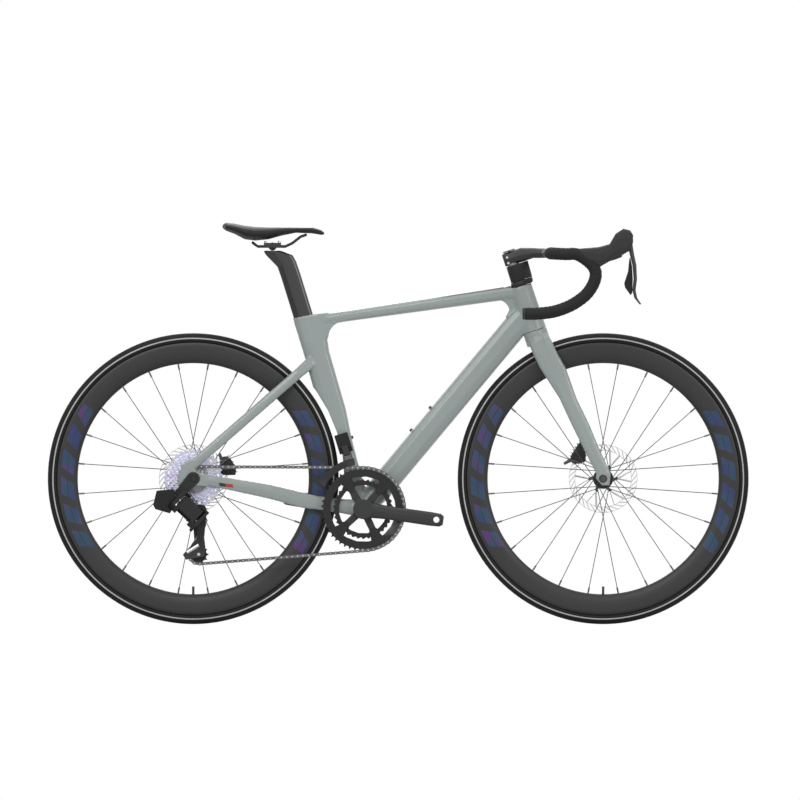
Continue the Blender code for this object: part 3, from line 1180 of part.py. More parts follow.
# Calipers
def caliper(name, low, high, centre, rotor_y):
    size = [b - a for a, b in zip(low, high)]
    body = box(name, [(a + b) / 2 for a, b in zip(low, high)], size, "black_alloy")
    half = ROTOR_THICKNESS / 2 + 0.0009
    cut(body, rod("rotor_slot", ROTOR_RADIUS + 0.0015, solid(centre, rotor_y - half), solid(centre, rotor_y + half), "black_alloy", 40))
    return body


caliper("rear_caliper", (REAR.x + 0.062, REAR_ROTOR_Y - 0.011, REAR.y + 0.0078), (REAR.x + 0.100, REAR_ROTOR_Y + 0.011, REAR.y + 0.053), REAR, REAR_ROTOR_Y)
caliper("front_caliper", (FRONT.x - 0.0795, FRONT_ROTOR_Y - 0.011, FRONT.y + 0.033), (FRONT.x - 0.040, FRONT_ROTOR_Y + 0.0033, FRONT.y + 0.089), FRONT, FRONT_ROTOR_Y)

# Seatpost, saddle clamp, rails and saddle
HEAD_RISE = 0.006
POST_TOP = (RAIL_HEIGHT - CLAMP_RADIUS - BB.y + POST_SETBACK * SEAT_OUT.y) / SEAT_UP.y - HEAD_RISE
POST_EXPOSED = POST_TOP - SEAT_TUBE_LENGTH
HEAD_CENTRE = on_seat(-POST_SETBACK, SEAT_TUBE_LENGTH + POST_EXPOSED + HEAD_RISE)


def seatpost():
    post = POST_CHORD / 2
    rings = []
    for out, up in (
        (0, SEAT_TUBE_LENGTH - POST_INSERTED),
        (0, POST_TOP - 0.060),
        (-0.001, POST_TOP - 0.034),
    ):
        centre = solid(on_seat(out, up))
        rings.append(oval(centre, (SEAT_OUT.x, 0, SEAT_OUT.y), (0, 1, 0), post, POST_WIDTH / 2, 16, 2.3))
    for forward, below, half in ((0.0155, 0.0096, post * 1.38), (0, 0, post * 0.93)):
        centre = (HEAD_CENTRE.x + forward, 0, RAIL_HEIGHT - CLAMP_RADIUS - GAP - below)
        rings.append(oval(centre, (1, 0, 0), (0, 1, 0), half, POST_WIDTH / 2, 16, 2.3))
    return loft("seatpost", rings, "carbon")


seatpost()
TILT_PIVOT = Vector((HEAD_CENTRE.x, 0, RAIL_HEIGHT))
clamp_wide = RAIL_SPACING / 2 + 0.0065
clamp = box("saddle_clamp", TILT_PIVOT + Vector((0, 0, 0.0028)), (0.040, 2 * clamp_wide, 0.0114), "black_alloy")
join(clamp, rod("cradle", CLAMP_RADIUS, (TILT_PIVOT.x, -0.014, RAIL_HEIGHT), (TILT_PIVOT.x, 0.014, RAIL_HEIGHT), "black_alloy", 24))
for hand in (-1, 1):
    start = Vector((TILT_PIVOT.x - 0.1, hand * RAIL_SPACING / 2, RAIL_HEIGHT))
    cut(clamp, rod("rail_bore", RAIL_RADIUS + GAP, start, start + Vector((0.2, 0, 0)), "black_alloy", 12))


def rails():
    """One bent wire: from the saddle's tail, along the clamp, and round the nose."""
    side = RAIL_SPACING / 2
    half = []
    x0 = TILT_PIVOT.x
    for dx, y, dz in ((-0.047, side + 0.006, 0.0095), (-0.041, side + 0.001, 0.005), (-0.034, side, 0.0), (0.030, side, 0.0), (0.046, side - 0.004, 0.0075), (0.066, 0.012, 0.0230), (0.078, 0.006, 0.0270)):
        half.append(Vector((x0 + dx, y, RAIL_HEIGHT + dz)))
    path = half + [Vector((p.x, -p.y, p.z)) for p in reversed(half)]
    return sweep("saddle_rails", path, [(RAIL_RADIUS, RAIL_RADIUS)] * len(path), "steel", (0, 1, 0), 6)


rails()


def saddle():
    """The padded shell, lofted from the tail to the nose."""
    tail = TILT_PIVOT.x - 0.1165
    rings = []
    for share, top, under, wide, square in (
        (0.0, 0.0500, 0.0435, 0.050, 2.2), (0.03, 0.0555, 0.0370, 0.82, 2.2), (0.12, 0.0535, 0.0290, 0.98, 2.3), (0.22, 0.0490, 0.0165, 1.0, 2.3),
        (0.32, 0.0460, 0.0135, 0.92, 2.3), (0.45, 0.0450, 0.0165, 0.66, 2.2), (0.58, 0.0450, 0.0250, 0.44, 2.2), (0.72, 0.0450, 0.0318, 0.31, 2.2),
        (0.88, 0.0448, 0.0303, 0.27, 2.2), (0.97, 0.0385, 0.0268, 0.22, 2.2), (1.0, 0.0330, 0.0275, 0.10, 2.0),
    ):
        x = tail + SADDLE_LENGTH * share
        z = RAIL_HEIGHT + (top + under) / 2
        rings.append(oval((x, 0, z), (0, 0, 1), (0, 1, 0), (top - under) / 2, SADDLE_WIDTH / 2 * wide, 16, square))
    return loft("saddle", rings, "saddle_cover")


saddle()
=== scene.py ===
import math
import json

import bmesh
import bpy
from mathutils import Matrix, Vector

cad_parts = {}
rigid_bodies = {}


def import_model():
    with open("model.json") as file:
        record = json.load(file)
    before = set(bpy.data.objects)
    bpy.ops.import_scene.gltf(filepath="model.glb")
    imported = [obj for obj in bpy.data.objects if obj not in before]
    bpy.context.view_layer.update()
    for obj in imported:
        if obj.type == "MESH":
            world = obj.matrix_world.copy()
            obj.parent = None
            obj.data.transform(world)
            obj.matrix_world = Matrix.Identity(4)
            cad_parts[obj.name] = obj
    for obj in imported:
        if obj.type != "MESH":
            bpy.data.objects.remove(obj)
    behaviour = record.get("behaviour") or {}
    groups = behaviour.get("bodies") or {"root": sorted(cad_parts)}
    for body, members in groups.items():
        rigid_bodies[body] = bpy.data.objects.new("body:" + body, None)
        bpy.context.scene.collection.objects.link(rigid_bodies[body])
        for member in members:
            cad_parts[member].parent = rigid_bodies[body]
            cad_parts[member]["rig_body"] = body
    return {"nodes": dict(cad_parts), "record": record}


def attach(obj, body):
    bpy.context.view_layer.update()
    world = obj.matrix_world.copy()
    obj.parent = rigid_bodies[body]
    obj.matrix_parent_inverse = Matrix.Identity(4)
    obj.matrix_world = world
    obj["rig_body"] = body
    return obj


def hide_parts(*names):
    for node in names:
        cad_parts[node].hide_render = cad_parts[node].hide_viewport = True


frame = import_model()
nodes = frame["nodes"]
slots = {part["node"]: part["material_slot"] for part in frame["record"]["subparts"]}


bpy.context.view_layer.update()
scene = bpy.context.scene
scene.view_settings.view_transform = "Standard"

# Camera, floor and lamps
view = {"middle": (0.0042, -4.0, 0.5223), "width": 1.864}
print("stage")
cameraData = bpy.data.cameras.new("camera")
cameraData.type = "ORTHO"
cameraData.ortho_scale = view["width"]
camera = bpy.data.objects.new("camera", cameraData)
camera.location = view["middle"]
camera.rotation_euler = (math.radians(90), 0, 0)
scene.collection.objects.link(camera)
scene.camera = camera


def lamp(name, place, aim, size, power):
    data = bpy.data.lights.new(name, "AREA")
    data.shape = "RECTANGLE"
    data.size, data.size_y = size
    data.energy = power
    made = bpy.data.objects.new(name, data)
    made.location = place
    made.rotation_euler = (Vector(aim) - Vector(place)).to_track_quat("-Z", "Y").to_euler()
    scene.collection.objects.link(made)


lamp("keyLamp", (-1.2, -3.0, 2.6), (0, 0, 0.4), (2.6, 1.8), 46)
lamp("sideLamp", (2.6, -2.2, 1.8), (0.2, 0, 0.4), (1.6, 1.6), 22)
lamp("backLamp", (0.4, 3.0, 2.4), (0, 0, 0.5), (2.4, 1.6), 26)
lamp("topLamp", (0, 0, 3.4), (0, 0, 0), (2.8, 1.6), 20)

world = bpy.data.worlds.new("studio")
scene.world = world
world.use_nodes = True
tree = world.node_tree
tree.nodes.clear()
sky = {"light": 0.30, "card": 1.0}
output = tree.nodes.new("ShaderNodeOutputWorld")
mixer = tree.nodes.new("ShaderNodeMixShader")
soft = tree.nodes.new("ShaderNodeBackground")
card = tree.nodes.new("ShaderNodeBackground")
path = tree.nodes.new("ShaderNodeLightPath")
soft.inputs["Color"].default_value = (1, 1, 1, 1)
soft.inputs["Strength"].default_value = sky["light"]
card.inputs["Color"].default_value = (1, 1, 1, 1)
card.inputs["Strength"].default_value = sky["card"]
# the camera, mirrors and glass all see the white card
seen = path.outputs["Is Camera Ray"]
for label in ("Is Glossy Ray", "Is Transmission Ray"):
    either = tree.nodes.new("ShaderNodeMath")
    either.operation = "MAXIMUM"
    tree.links.new(seen, either.inputs[0])
    tree.links.new(path.outputs[label], either.inputs[1])
    seen = either.outputs[0]
tree.links.new(seen, mixer.inputs[0])
tree.links.new(soft.outputs[0], mixer.inputs[1])
tree.links.new(card.outputs[0], mixer.inputs[2])
tree.links.new(mixer.outputs[0], output.inputs["Surface"])

floorMesh = bpy.data.meshes.new("floor")
bm = bmesh.new()
bmesh.ops.create_grid(bm, x_segments=1, y_segments=1, size=6)
bmesh.ops.translate(bm, verts=bm.verts, vec=(0, 0, -0.0006))
bm.to_mesh(floorMesh)
bm.free()
floor = bpy.data.objects.new("floor", floorMesh)
scene.collection.objects.link(floor)
floorFinish = bpy.data.materials.new("floorPaint")
floorFinish.use_nodes = True
floorFinish.node_tree.nodes["Principled BSDF"].inputs["Base Color"].default_value = (0.9, 0.9, 0.9, 1)
floorFinish.node_tree.nodes["Principled BSDF"].inputs["Roughness"].default_value = 0.9
floorMesh.materials.append(floorFinish)


# Shader node groups
def newGroup(name, inputs, outputs):
    group = bpy.data.node_groups.new(name, "ShaderNodeTree")
    for label, kind, value in inputs:
        socket = group.interface.new_socket(label, in_out="INPUT", socket_type=kind)
        socket.default_value = value
    for label, kind in outputs:
        group.interface.new_socket(label, in_out="OUTPUT", socket_type=kind)
    source = group.nodes.new("NodeGroupInput")
    sink = group.nodes.new("NodeGroupOutput")
    return group, source, sink


def node(group, kind, **settings):
    made = group.nodes.new(kind)
    for key, value in settings.items():
        setattr(made, key, value)
    return made


def maths(group, operation, a, b=None):
    made = node(group, "ShaderNodeMath", operation=operation)
    for i, value in enumerate((a, b)):
        if value is None:
            continue
        if isinstance(value, (int, float)):
            made.inputs[i].default_value = value
        else:
            group.links.new(value, made.inputs[i])
    return made.outputs[0]


floatKind, colourKind = "NodeSocketFloat", "NodeSocketColor"


# Fine mottling: a colour a little lighter and darker, and a height for bump.
def grainGroup():
    group, source, sink = newGroup(
        "surfaceGrain",
        [("Colour", colourKind, (0.5, 0.5, 0.5, 1)), ("Scale", floatKind, 200.0), ("Amount", floatKind, 0.2)],
        [("Colour", colourKind), ("Height", floatKind), ("Roughness Shift", floatKind)],
    )
    where = node(group, "ShaderNodeTexCoord")
    fine = node(group, "ShaderNodeTexNoise")
    fine.inputs["Detail"].default_value = 6
    group.links.new(where.outputs["Object"], fine.inputs["Vector"])
    group.links.new(source.outputs["Scale"], fine.inputs["Scale"])
    broad = node(group, "ShaderNodeTexNoise")
    broad.inputs["Detail"].default_value = 3
    broad.inputs["Scale"].default_value = 9
    group.links.new(where.outputs["Object"], broad.inputs["Vector"])
    both = maths(
        group,
        "ADD",
        maths(group, "MULTIPLY", fine.outputs[0], 0.6),
        maths(group, "MULTIPLY", broad.outputs[0], 0.4),
    )
    swing = maths(group, "MULTIPLY", maths(group, "SUBTRACT", both, 0.5), source.outputs["Amount"])
    level = maths(group, "ADD", 1.0, maths(group, "MULTIPLY", swing, 2.0))
    tint = node(group, "ShaderNodeVectorMath", operation="SCALE")
    group.links.new(source.outputs["Colour"], tint.inputs[0])
    group.links.new(level, tint.inputs["Scale"])
    group.links.new(tint.outputs[0], sink.inputs["Colour"])
    group.links.new(fine.outputs[0], sink.inputs["Height"])
    group.links.new(swing, sink.inputs["Roughness Shift"])
    return group


# A crossed weave of two sets of threads, for tape and carbon cloth.
def weaveGroup():
    group, source, sink = newGroup(
        "crossWeave",
        [
            ("Colour", colourKind, (0.5, 0.5, 0.5, 1)),
            ("Scale", floatKind, 300.0),
            ("Contrast", floatKind, 0.3),
        ],
        [("Colour", colourKind), ("Height", floatKind)],
    )
    where = node(group, "ShaderNodeTexCoord")
    waves = []
    for turn in (math.radians(45), math.radians(-45)):
        place = node(group, "ShaderNodeMapping")
        place.inputs["Rotation"].default_value = (0, turn, turn)
        group.links.new(where.outputs["Object"], place.inputs["Vector"])
        wave = node(group, "ShaderNodeTexWave")
        wave.inputs["Distortion"].default_value = 0.4
        group.links.new(place.outputs[0], wave.inputs["Vector"])
        group.links.new(source.outputs["Scale"], wave.inputs["Scale"])
        waves.append(wave.outputs["Fac"])
    crossed = maths(group, "MAXIMUM", waves[0], waves[1])
    level = maths(
        group,
        "ADD",
        1.0,
        maths(group, "MULTIPLY", maths(group, "SUBTRACT", crossed, 0.6), source.outputs["Contrast"]),
    )
    tint = node(group, "ShaderNodeVectorMath", operation="SCALE")
    group.links.new(source.outputs["Colour"], tint.inputs[0])
    group.links.new(level, tint.inputs["Scale"])
    group.links.new(tint.outputs[0], sink.inputs["Colour"])
    group.links.new(crossed, sink.inputs["Height"])
    return group


# Lighter worn edges, read from the surface's pointiness.
def edgeGroup():
    group, source, sink = newGroup(
        "edgeWear",
        [
            ("Colour", colourKind, (0.5, 0.5, 0.5, 1)),
            ("Edge Colour", colourKind, (1, 1, 1, 1)),
            ("Amount", floatKind, 0.3),
        ],
        [("Colour", colourKind), ("Mask", floatKind)],
    )
    shape = node(group, "ShaderNodeNewGeometry")
    where = node(group, "ShaderNodeTexCoord")
    spots = node(group, "ShaderNodeTexNoise")
    spots.inputs["Scale"].default_value = 60
    group.links.new(where.outputs["Object"], spots.inputs["Vector"])
    sharp = node(group, "ShaderNodeMapRange")
    sharp.inputs["From Min"].default_value = 0.53
    sharp.inputs["From Max"].default_value = 0.62
    group.links.new(shape.outputs["Pointiness"], sharp.inputs["Value"])
    mask = maths(
        group,
        "MULTIPLY",
        maths(group, "MULTIPLY", sharp.outputs[0], spots.outputs[0]),
        source.outputs["Amount"],
    )
    blend = node(group, "ShaderNodeMix", data_type="RGBA")
    group.links.new(mask, blend.inputs[0])
    group.links.new(source.outputs["Colour"], blend.inputs[6])
    group.links.new(source.outputs["Edge Colour"], blend.inputs[7])
    group.links.new(blend.outputs[2], sink.inputs["Colour"])
    group.links.new(mask, sink.inputs["Mask"])
    return group


print("finishes")
grain, weave, edges = grainGroup(), weaveGroup(), edgeGroup()
finishes = {
    # colour, roughness, metallic, coat, grain scale, grain amount, bump, edge colour, edge amount
    "frame_paint": ((0.320, 0.370, 0.358), 0.32, 0.0, 0.5, 900, 0.05, 0.01, (0.5, 0.55, 0.54), 0.1),
    "blackPaint": ((0.008, 0.008, 0.008), 0.22, 0.0, 0.6, 900, 0.1, 0.01, (0.1, 0.1, 0.1), 0.1),
    "carbon": ((0.018, 0.018, 0.019), 0.5, 0.0, 0.03, 500, 0.3, 0.02, (0.06, 0.06, 0.065), 0.2),
    "rubber": ((0.038, 0.038, 0.038), 0.62, 0.0, 0.0, 900, 0.4, 0.15, (0.03, 0.03, 0.03), 0.3),
    "tape": ((0.017, 0.017, 0.017), 0.6, 0.0, 0.0, 1100, 0.5, 0.25, (0.04, 0.04, 0.04), 0.4),
    "black_alloy": ((0.016, 0.016, 0.017), 0.36, 0.35, 0.0, 700, 0.3, 0.03, (0.35, 0.35, 0.36), 0.5),
    "steel": ((0.56, 0.56, 0.57), 0.3, 1.0, 0.0, 900, 0.2, 0.04, (0.8, 0.8, 0.8), 0.3),
    "chain_steel": ((0.07, 0.07, 0.074), 0.35, 0.9, 0.0, 900, 0.3, 0.04, (0.4, 0.4, 0.4), 0.5),
    "cog_steel": ((0.22, 0.19, 0.25), 0.3, 0.95, 0.0, 600, 0.3, 0.03, (0.6, 0.6, 0.62), 0.5),
    "dark_plastic": ((0.018, 0.018, 0.019), 0.42, 0.0, 0.0, 900, 0.3, 0.08, (0.1, 0.1, 0.1), 0.4),
    "saddle_cover": ((0.020, 0.020, 0.020), 0.5, 0.0, 0.0, 650, 0.35, 0.2, (0.04, 0.04, 0.04), 0.3),
}


looks = {}


# One material. colourFrom is a function that gives another colour output.
def finish(name, colourFrom=None):
    if name in looks:
        return looks[name]
    colour, roughness, metallic, coat, scale, amount, bump, edgeColour, edgeAmount = finishes[
        name.split("+")[0]
    ]
    words = name.replace("+", "_").split("_")
    made = bpy.data.materials.new(words[0] + "".join(w[0].upper() + w[1:] for w in words[1:]) + "Finish")
    looks[name] = made
    made.use_nodes = True
    tree = made.node_tree
    shader = tree.nodes["Principled BSDF"]
    shader.inputs["Metallic"].default_value = metallic
    shader.inputs["Coat Weight"].default_value = coat
    shader.inputs["Coat Roughness"].default_value = 0.08
    shader.inputs["Specular IOR Level"].default_value = 0.5 if coat or metallic else 0.2
    soft = node(tree, "ShaderNodeGroup", node_tree=grain)
    soft.inputs["Colour"].default_value = (*colour, 1)
    soft.inputs["Scale"].default_value = scale
    soft.inputs["Amount"].default_value = amount
    if colourFrom:
        tree.links.new(colourFrom(tree, colour), soft.inputs["Colour"])
    worn = node(tree, "ShaderNodeGroup", node_tree=edges)
    worn.inputs["Edge Colour"].default_value = (*edgeColour, 1)
    worn.inputs["Amount"].default_value = edgeAmount
    tree.links.new(soft.outputs["Colour"], worn.inputs["Colour"])
    tree.links.new(worn.outputs["Colour"], shader.inputs["Base Color"])
    height = soft.outputs["Height"]
    if name.split("+")[0] in ("tape", "carbon"):
        cloth = node(tree, "ShaderNodeGroup", node_tree=weave)
        cloth.inputs["Scale"].default_value = 260 if name.startswith("carbon") else 500
        cloth.inputs["Contrast"].default_value = 0.5
        tree.links.new(worn.outputs["Colour"], cloth.inputs["Colour"])
        tree.links.new(cloth.outputs["Colour"], shader.inputs["Base Color"])
        height = cloth.outputs["Height"] if name.startswith("tape") else height
    tree.links.new(
        maths(tree, "ADD", roughness, maths(tree, "MULTIPLY", soft.outputs["Roughness Shift"], 0.6)),
        shader.inputs["Roughness"],
    )
    bumps = node(tree, "ShaderNodeBump")
    bumps.inputs["Strength"].default_value = bump
    bumps.inputs["Distance"].default_value = 0.0004
    tree.links.new(height, bumps.inputs["Height"])
    tree.links.new(bumps.outputs[0], shader.inputs["Normal"])
    return made


# 1 where value lies between low and high, with soft ends
def between(tree, value, low, high, softness):
    up = node(tree, "ShaderNodeMapRange", interpolation_type="SMOOTHSTEP")
    up.inputs["From Min"].default_value = low - softness
    up.inputs["From Max"].default_value = low + softness
    down = node(tree, "ShaderNodeMapRange", interpolation_type="SMOOTHSTEP")
    down.inputs["From Min"].default_value = high - softness
    down.inputs["From Max"].default_value = high + softness
    tree.links.new(value, up.inputs["Value"])
    tree.links.new(value, down.inputs["Value"])
    return maths(tree, "SUBTRACT", up.outputs[0], down.outputs[0])


def mixColour(tree, mask, first, second):
    blend = node(tree, "ShaderNodeMix", data_type="RGBA")
    tree.links.new(mask, blend.inputs[0])
    for socket, value in ((blend.inputs[6], first), (blend.inputs[7], second)):
        if isinstance(value, tuple):
            socket.default_value = (*value, 1)
        else:
            tree.links.new(value, socket)
    return blend.outputs[2]


# Object coordinates measured from a point, as separate x, y and z outputs
def fromPoint(tree, centre):
    where = node(tree, "ShaderNodeTexCoord")
    move = node(tree, "ShaderNodeVectorMath", operation="SUBTRACT")
    move.inputs[1].default_value = centre
    tree.links.new(where.outputs["Object"], move.inputs[0])
    split = node(tree, "ShaderNodeSeparateXYZ")
    tree.links.new(move.outputs[0], split.inputs[0])
    return split.outputs


def radiusOf(tree, parts):
    flat = maths(
        tree, "ADD", maths(tree, "MULTIPLY", parts[0], parts[0]), maths(tree, "MULTIPLY", parts[2], parts[2])
    )
    return maths(tree, "SQRT", flat)


# Placing and dressing the pieces
def meshObject(name, bm):
    mesh = bpy.data.meshes.new(name)
    bm.to_mesh(mesh)
    bm.free()
    made = bpy.data.objects.new(name, mesh)
    scene.collection.objects.link(made)
    return made


# Gives the piece its material and shading, and its place in the part.
def dress(piece, standsFor, material, sharpAngle=35):
    piece.data.materials.clear()
    piece.data.materials.append(material)
    piece.data.shade_smooth()
    if sharpAngle:
        piece.data.set_sharp_from_angle(angle=math.radians(sharpAngle))
    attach(piece, nodes[standsFor]["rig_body"])
    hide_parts(standsFor)


def mergedCopy(nodeName, name):
    bm = bmesh.new()
    bm.from_mesh(nodes[nodeName].data)
    bmesh.ops.remove_doubles(bm, verts=bm.verts, dist=2e-6)
    bmesh.ops.dissolve_degenerate(bm, edges=bm.edges, dist=1e-7)
    bmesh.ops.recalc_face_normals(bm, faces=bm.faces)
    return meshObject(name, bm)


# Makes the piece's modifiers part of its mesh.
def applied(piece):
    shaped = piece.evaluated_get(bpy.context.evaluated_depsgraph_get())
    fresh = bpy.data.meshes.new_from_object(shaped)
    piece.modifiers.clear()
    old = piece.data
    piece.data = fresh
    bpy.data.meshes.remove(old)
    return piece


# A copy with its pieces flowed together, as one moulding.
def softened(nodeName, name, voxel, passes):
    piece = mergedCopy(nodeName, name)
    remesh = piece.modifiers.new("remesh", "REMESH")
    remesh.mode = "VOXEL"
    remesh.voxel_size = voxel * 1
    applied(piece)
    bm = bmesh.new()
    bm.from_mesh(piece.data)
    axes = {"use_axis_x": True, "use_axis_y": True, "use_axis_z": True}
    for _ in range(passes):
        bmesh.ops.smooth_vert(bm, verts=bm.verts, factor=0.5, **axes)
        bmesh.ops.smooth_vert(bm, verts=bm.verts, factor=-0.52, **axes)
    bm.to_mesh(piece.data)
    bm.free()
    return piece


def bevelled(nodeName, name, width, segments=2):
    piece = mergedCopy(nodeName, name)
    piece.data.shade_smooth()
    step = piece.modifiers.new("bevel", "BEVEL")
    step.width = width
    step.segments = segments
    step.limit_method = "ANGLE"
    step.angle_limit = math.radians(38)
    step.use_clamp_overlap = True
    return piece


# Frame and fork: one moulding each, in grey paint with a black band by the head
print("frame")
frameShape = {"voxel": 0.0024, "passes": 8}


def frameColours(tree, colour):
    black, red = (0.010, 0.010, 0.011), (0.45, 0.02, 0.03)
    x, y, z = fromPoint(tree, (0, 0, 0))
    # the top tube's upper edge is black towards the head
    slope = maths(tree, "SUBTRACT", z, maths(tree, "MULTIPLY", x, 0.150))
    edge = maths(
        tree, "MULTIPLY", between(tree, slope, 0.7452, 0.90, 0.0004), between(tree, x, 0.10, 0.40, 0.03)
    )
    out = mixColour(tree, edge, colour, black)
    # a black and a red block on the right chainstay
    beside = maths(tree, "LESS_THAN", y, -0.03)
    slanted = maths(tree, "ADD", x, maths(tree, "MULTIPLY", z, 0.35))
    height = maths(tree, "ADD", z, maths(tree, "MULTIPLY", x, 0.12))
    strip = maths(tree, "MULTIPLY", between(tree, height, 0.2716, 0.2796, 0.0003), beside)
    for start, stop, shade in ((-0.3033, -0.2889, black), (-0.2889, -0.2721, red)):
        mask = maths(tree, "MULTIPLY", between(tree, slanted, start, stop, 0.0003), strip)
        out = mixColour(tree, mask, out, shade)
    return out


dress(
    softened("frame", "frameMoulding", frameShape["voxel"], frameShape["passes"]),
    "frame",
    finish("frame_paint+frame", frameColours),
    0,
)
dress(softened("fork", "forkMoulding", 0.0018, 8), "fork", finish("frame_paint"), 0)

# Cockpit
print("cockpit")
dress(softened("cockpit", "barAndStem", 0.0016, 8), "cockpit", finish("carbon"), 0)
for name in ("headset_fixed_cover", "hose_cover"):
    dress(bevelled(name, name + "Shell", 0.0012, 3), name, finish("dark_plastic"), 40)
dress(bevelled("top_cap", "topCapDisc", 0.0005), "top_cap", finish("black_alloy"), 30)
for name in ("headset_lower_bearing", "headset_upper_bearing"):
    dress(bevelled(name, name + "Ring", 0.0004), name, finish("steel"), 30)

barShape = {
    "centre": (0.34949, 0.864153), "reach": 0.110, "drop": 0.141, "half": 0.200, "radius": 0.0149,
    "wrap": 0.0105, "lift": 0.0007,
}
dropCurve = (
    (0.62, 0.022), (0.89, 0.163), (1.0, 0.30), (0.983, 0.454), (0.865, 0.625),
    (0.692, 0.757), (0.43, 0.88), (0.11, 0.965), (-0.23, 0.997), (-0.50, 1.0),
)


# the middle line of one side of the bar, from its straight top to the end of the drop
def barRoute(hand, steps):
    cx, cz = barShape["centre"]
    half = barShape["half"]
    points = [
        Vector((cx, hand * (half - 0.050), cz)),
        Vector((cx + 0.004, hand * (half - 0.022), cz)),
        Vector((cx + 0.020, hand * (half - 0.005), cz - 0.001)),
        Vector((cx + 0.042, hand * half, cz - 0.002)),
    ]
    points += [
        Vector((cx + barShape["reach"] * a, hand * half, cz - barShape["drop"] * b)) for a, b in dropCurve
    ]
    ends = [2 * points[0] - points[1], *points, 2 * points[-1] - points[-2]]
    route = []
    for k in range(1, len(points) - 1):
        a, b, c, d = ends[k : k + 4]
        for i in range(steps):
            t = i / steps
            route.append(
                0.5 * (
                    2 * b + (c - a) * t + (2 * a - 5 * b + 4 * c - d) * t * t + (3 * b - a - 3 * c + d) * t**3
                )
            )
    return [*route, points[-1]]


# tape wound round the bar: each turn overlaps the one before
def wrappedTape(hand, name):
    route = barRoute(hand, 26)
    bm = bmesh.new()
    side = Vector((0, 0, 1))
    travelled = 0.0
    sides = 28
    previous = None
    for i, point in enumerate(route):
        ahead = (route[min(i + 1, len(route) - 1)] - route[max(i - 1, 0)]).normalized()
        side = (side - ahead * side.dot(ahead)).normalized()
        up = ahead.cross(side)
        if i:
            travelled += (point - route[i - 1]).length
        ends = min(i / 4, (len(route) - 1 - i) / 4, 1)
        turn = bmesh.ops.create_circle(
            bm, cap_ends=i in (0, len(route) - 1), segments=sides, radius=1.0
        )["verts"]
        for j, vert in enumerate(turn):
            angle = math.atan2(vert.co.y, vert.co.x)
            phase = (travelled / barShape["wrap"] + hand * angle / (2 * math.pi)) % 1
            ridge = barShape["lift"] * (phase if phase < 0.86 else (1 - phase) / 0.14 * 0.86)
            radius = barShape["radius"] - 0.0006 * (1 - ends) + ridge - 0.0009
            vert.co = point + side * (math.cos(angle) * radius) + up * (math.sin(angle) * radius)
        current = [e for v in turn for e in v.link_edges if e.other_vert(v) in set(turn)]
        current = list(dict.fromkeys(current))
        if previous:
            bmesh.ops.bridge_loops(bm, edges=previous + current)
        previous = current
    bmesh.ops.recalc_face_normals(bm, faces=bm.faces)
    return meshObject(name, bm)


for side, hand in (("Left", 1), ("Right", -1)):
    low = side.lower()
    dress(wrappedTape(hand, "barTape" + side), "bar_tape_" + low, finish("tape"), 50)
    dress(bevelled("bar_plug_" + low, "barPlug" + side, 0.0012, 3), "bar_plug_" + low, finish("rubber"), 40)
    dress(softened("hood_" + low, "hood" + side, 0.0015, 8), "hood_" + low, finish("rubber"), 0)
    dress(
        softened("brake_lever_" + low, "brakeLever" + side, 0.0009, 6),
        "brake_lever_" + low,
        finish("carbon"),
        0,
    )
    dress(
        bevelled("shift_paddle_" + low, "shiftPaddle" + side, 0.0007, 3),
        "shift_paddle_" + low,
        finish("dark_plastic"),
        30,
    )
    dress(bevelled("lever_pin_" + low, "leverPin" + side, 0.0002), "lever_pin_" + low, finish("steel"), 30)

# Seat
print("seat")
dress(softened("seatpost", "aeroPost", 0.0016, 8), "seatpost", finish("blackPaint"), 0)
dress(bevelled("saddle_clamp", "saddleClamp", 0.0010, 3), "saddle_clamp", finish("black_alloy"), 30)
saddleShape = {"tail": -0.40943, "length": 0.237, "groove": 0.0045, "grooveHalf": 0.013}
saddle = softened("saddle", "saddlePad", 0.0018, 14)
for vert in saddle.data.vertices:
    # a pressure groove runs down the middle of the upper face
    along = (vert.co.x - saddleShape["tail"]) / saddleShape["length"]
    across = min(abs(vert.co.y) / saddleShape["grooveHalf"], 1)
    above = min(max((vert.co.z - 0.915) / 0.006, 0), 1)
    fade = min(max((along - 0.12) / 0.12, 0), 1) * min(max((0.90 - along) / 0.12, 0), 1)
    vert.co.z -= saddleShape["groove"] * (1 - across * across) ** 2 * above * fade
dress(saddle, "saddle", finish("saddle_cover"), 0)
dress(softened("saddle_rails", "saddleRails", 0.0008, 8), "saddle_rails", finish("black_alloy"), 0)


# an extra piece, which stands for no node of its own
def added(piece, body, slotName, sharpAngle=35):
    piece.data.materials.append(finish(slotName))
    piece.data.shade_smooth()
    piece.data.set_sharp_from_angle(angle=math.radians(sharpAngle))
    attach(piece, body)


# small round fixings, each a place, a direction, a radius and a height, as one piece
def fixing(name, standsOn, slotName, shapes):
    bm = bmesh.new()
    for place, along, radius, height in shapes:
        turn = Vector(along).to_track_quat("Z", "Y").to_matrix().to_4x4()
        at = Matrix.Translation(Vector(place)) @ turn
        bmesh.ops.create_cone(
            bm, cap_ends=True, segments=20, radius1=radius, radius2=radius * 0.86, depth=height, matrix=at
        )
        cup = at @ Matrix.Translation((0, 0, height / 2 + 0.0001))
        bmesh.ops.create_cone(
            bm, cap_ends=True, segments=6, radius1=radius * 0.5, radius2=radius * 0.42, depth=0.0004,
            matrix=cup,
        )
    added(meshObject(name, bm), nodes[standsOn]["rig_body"], slotName)


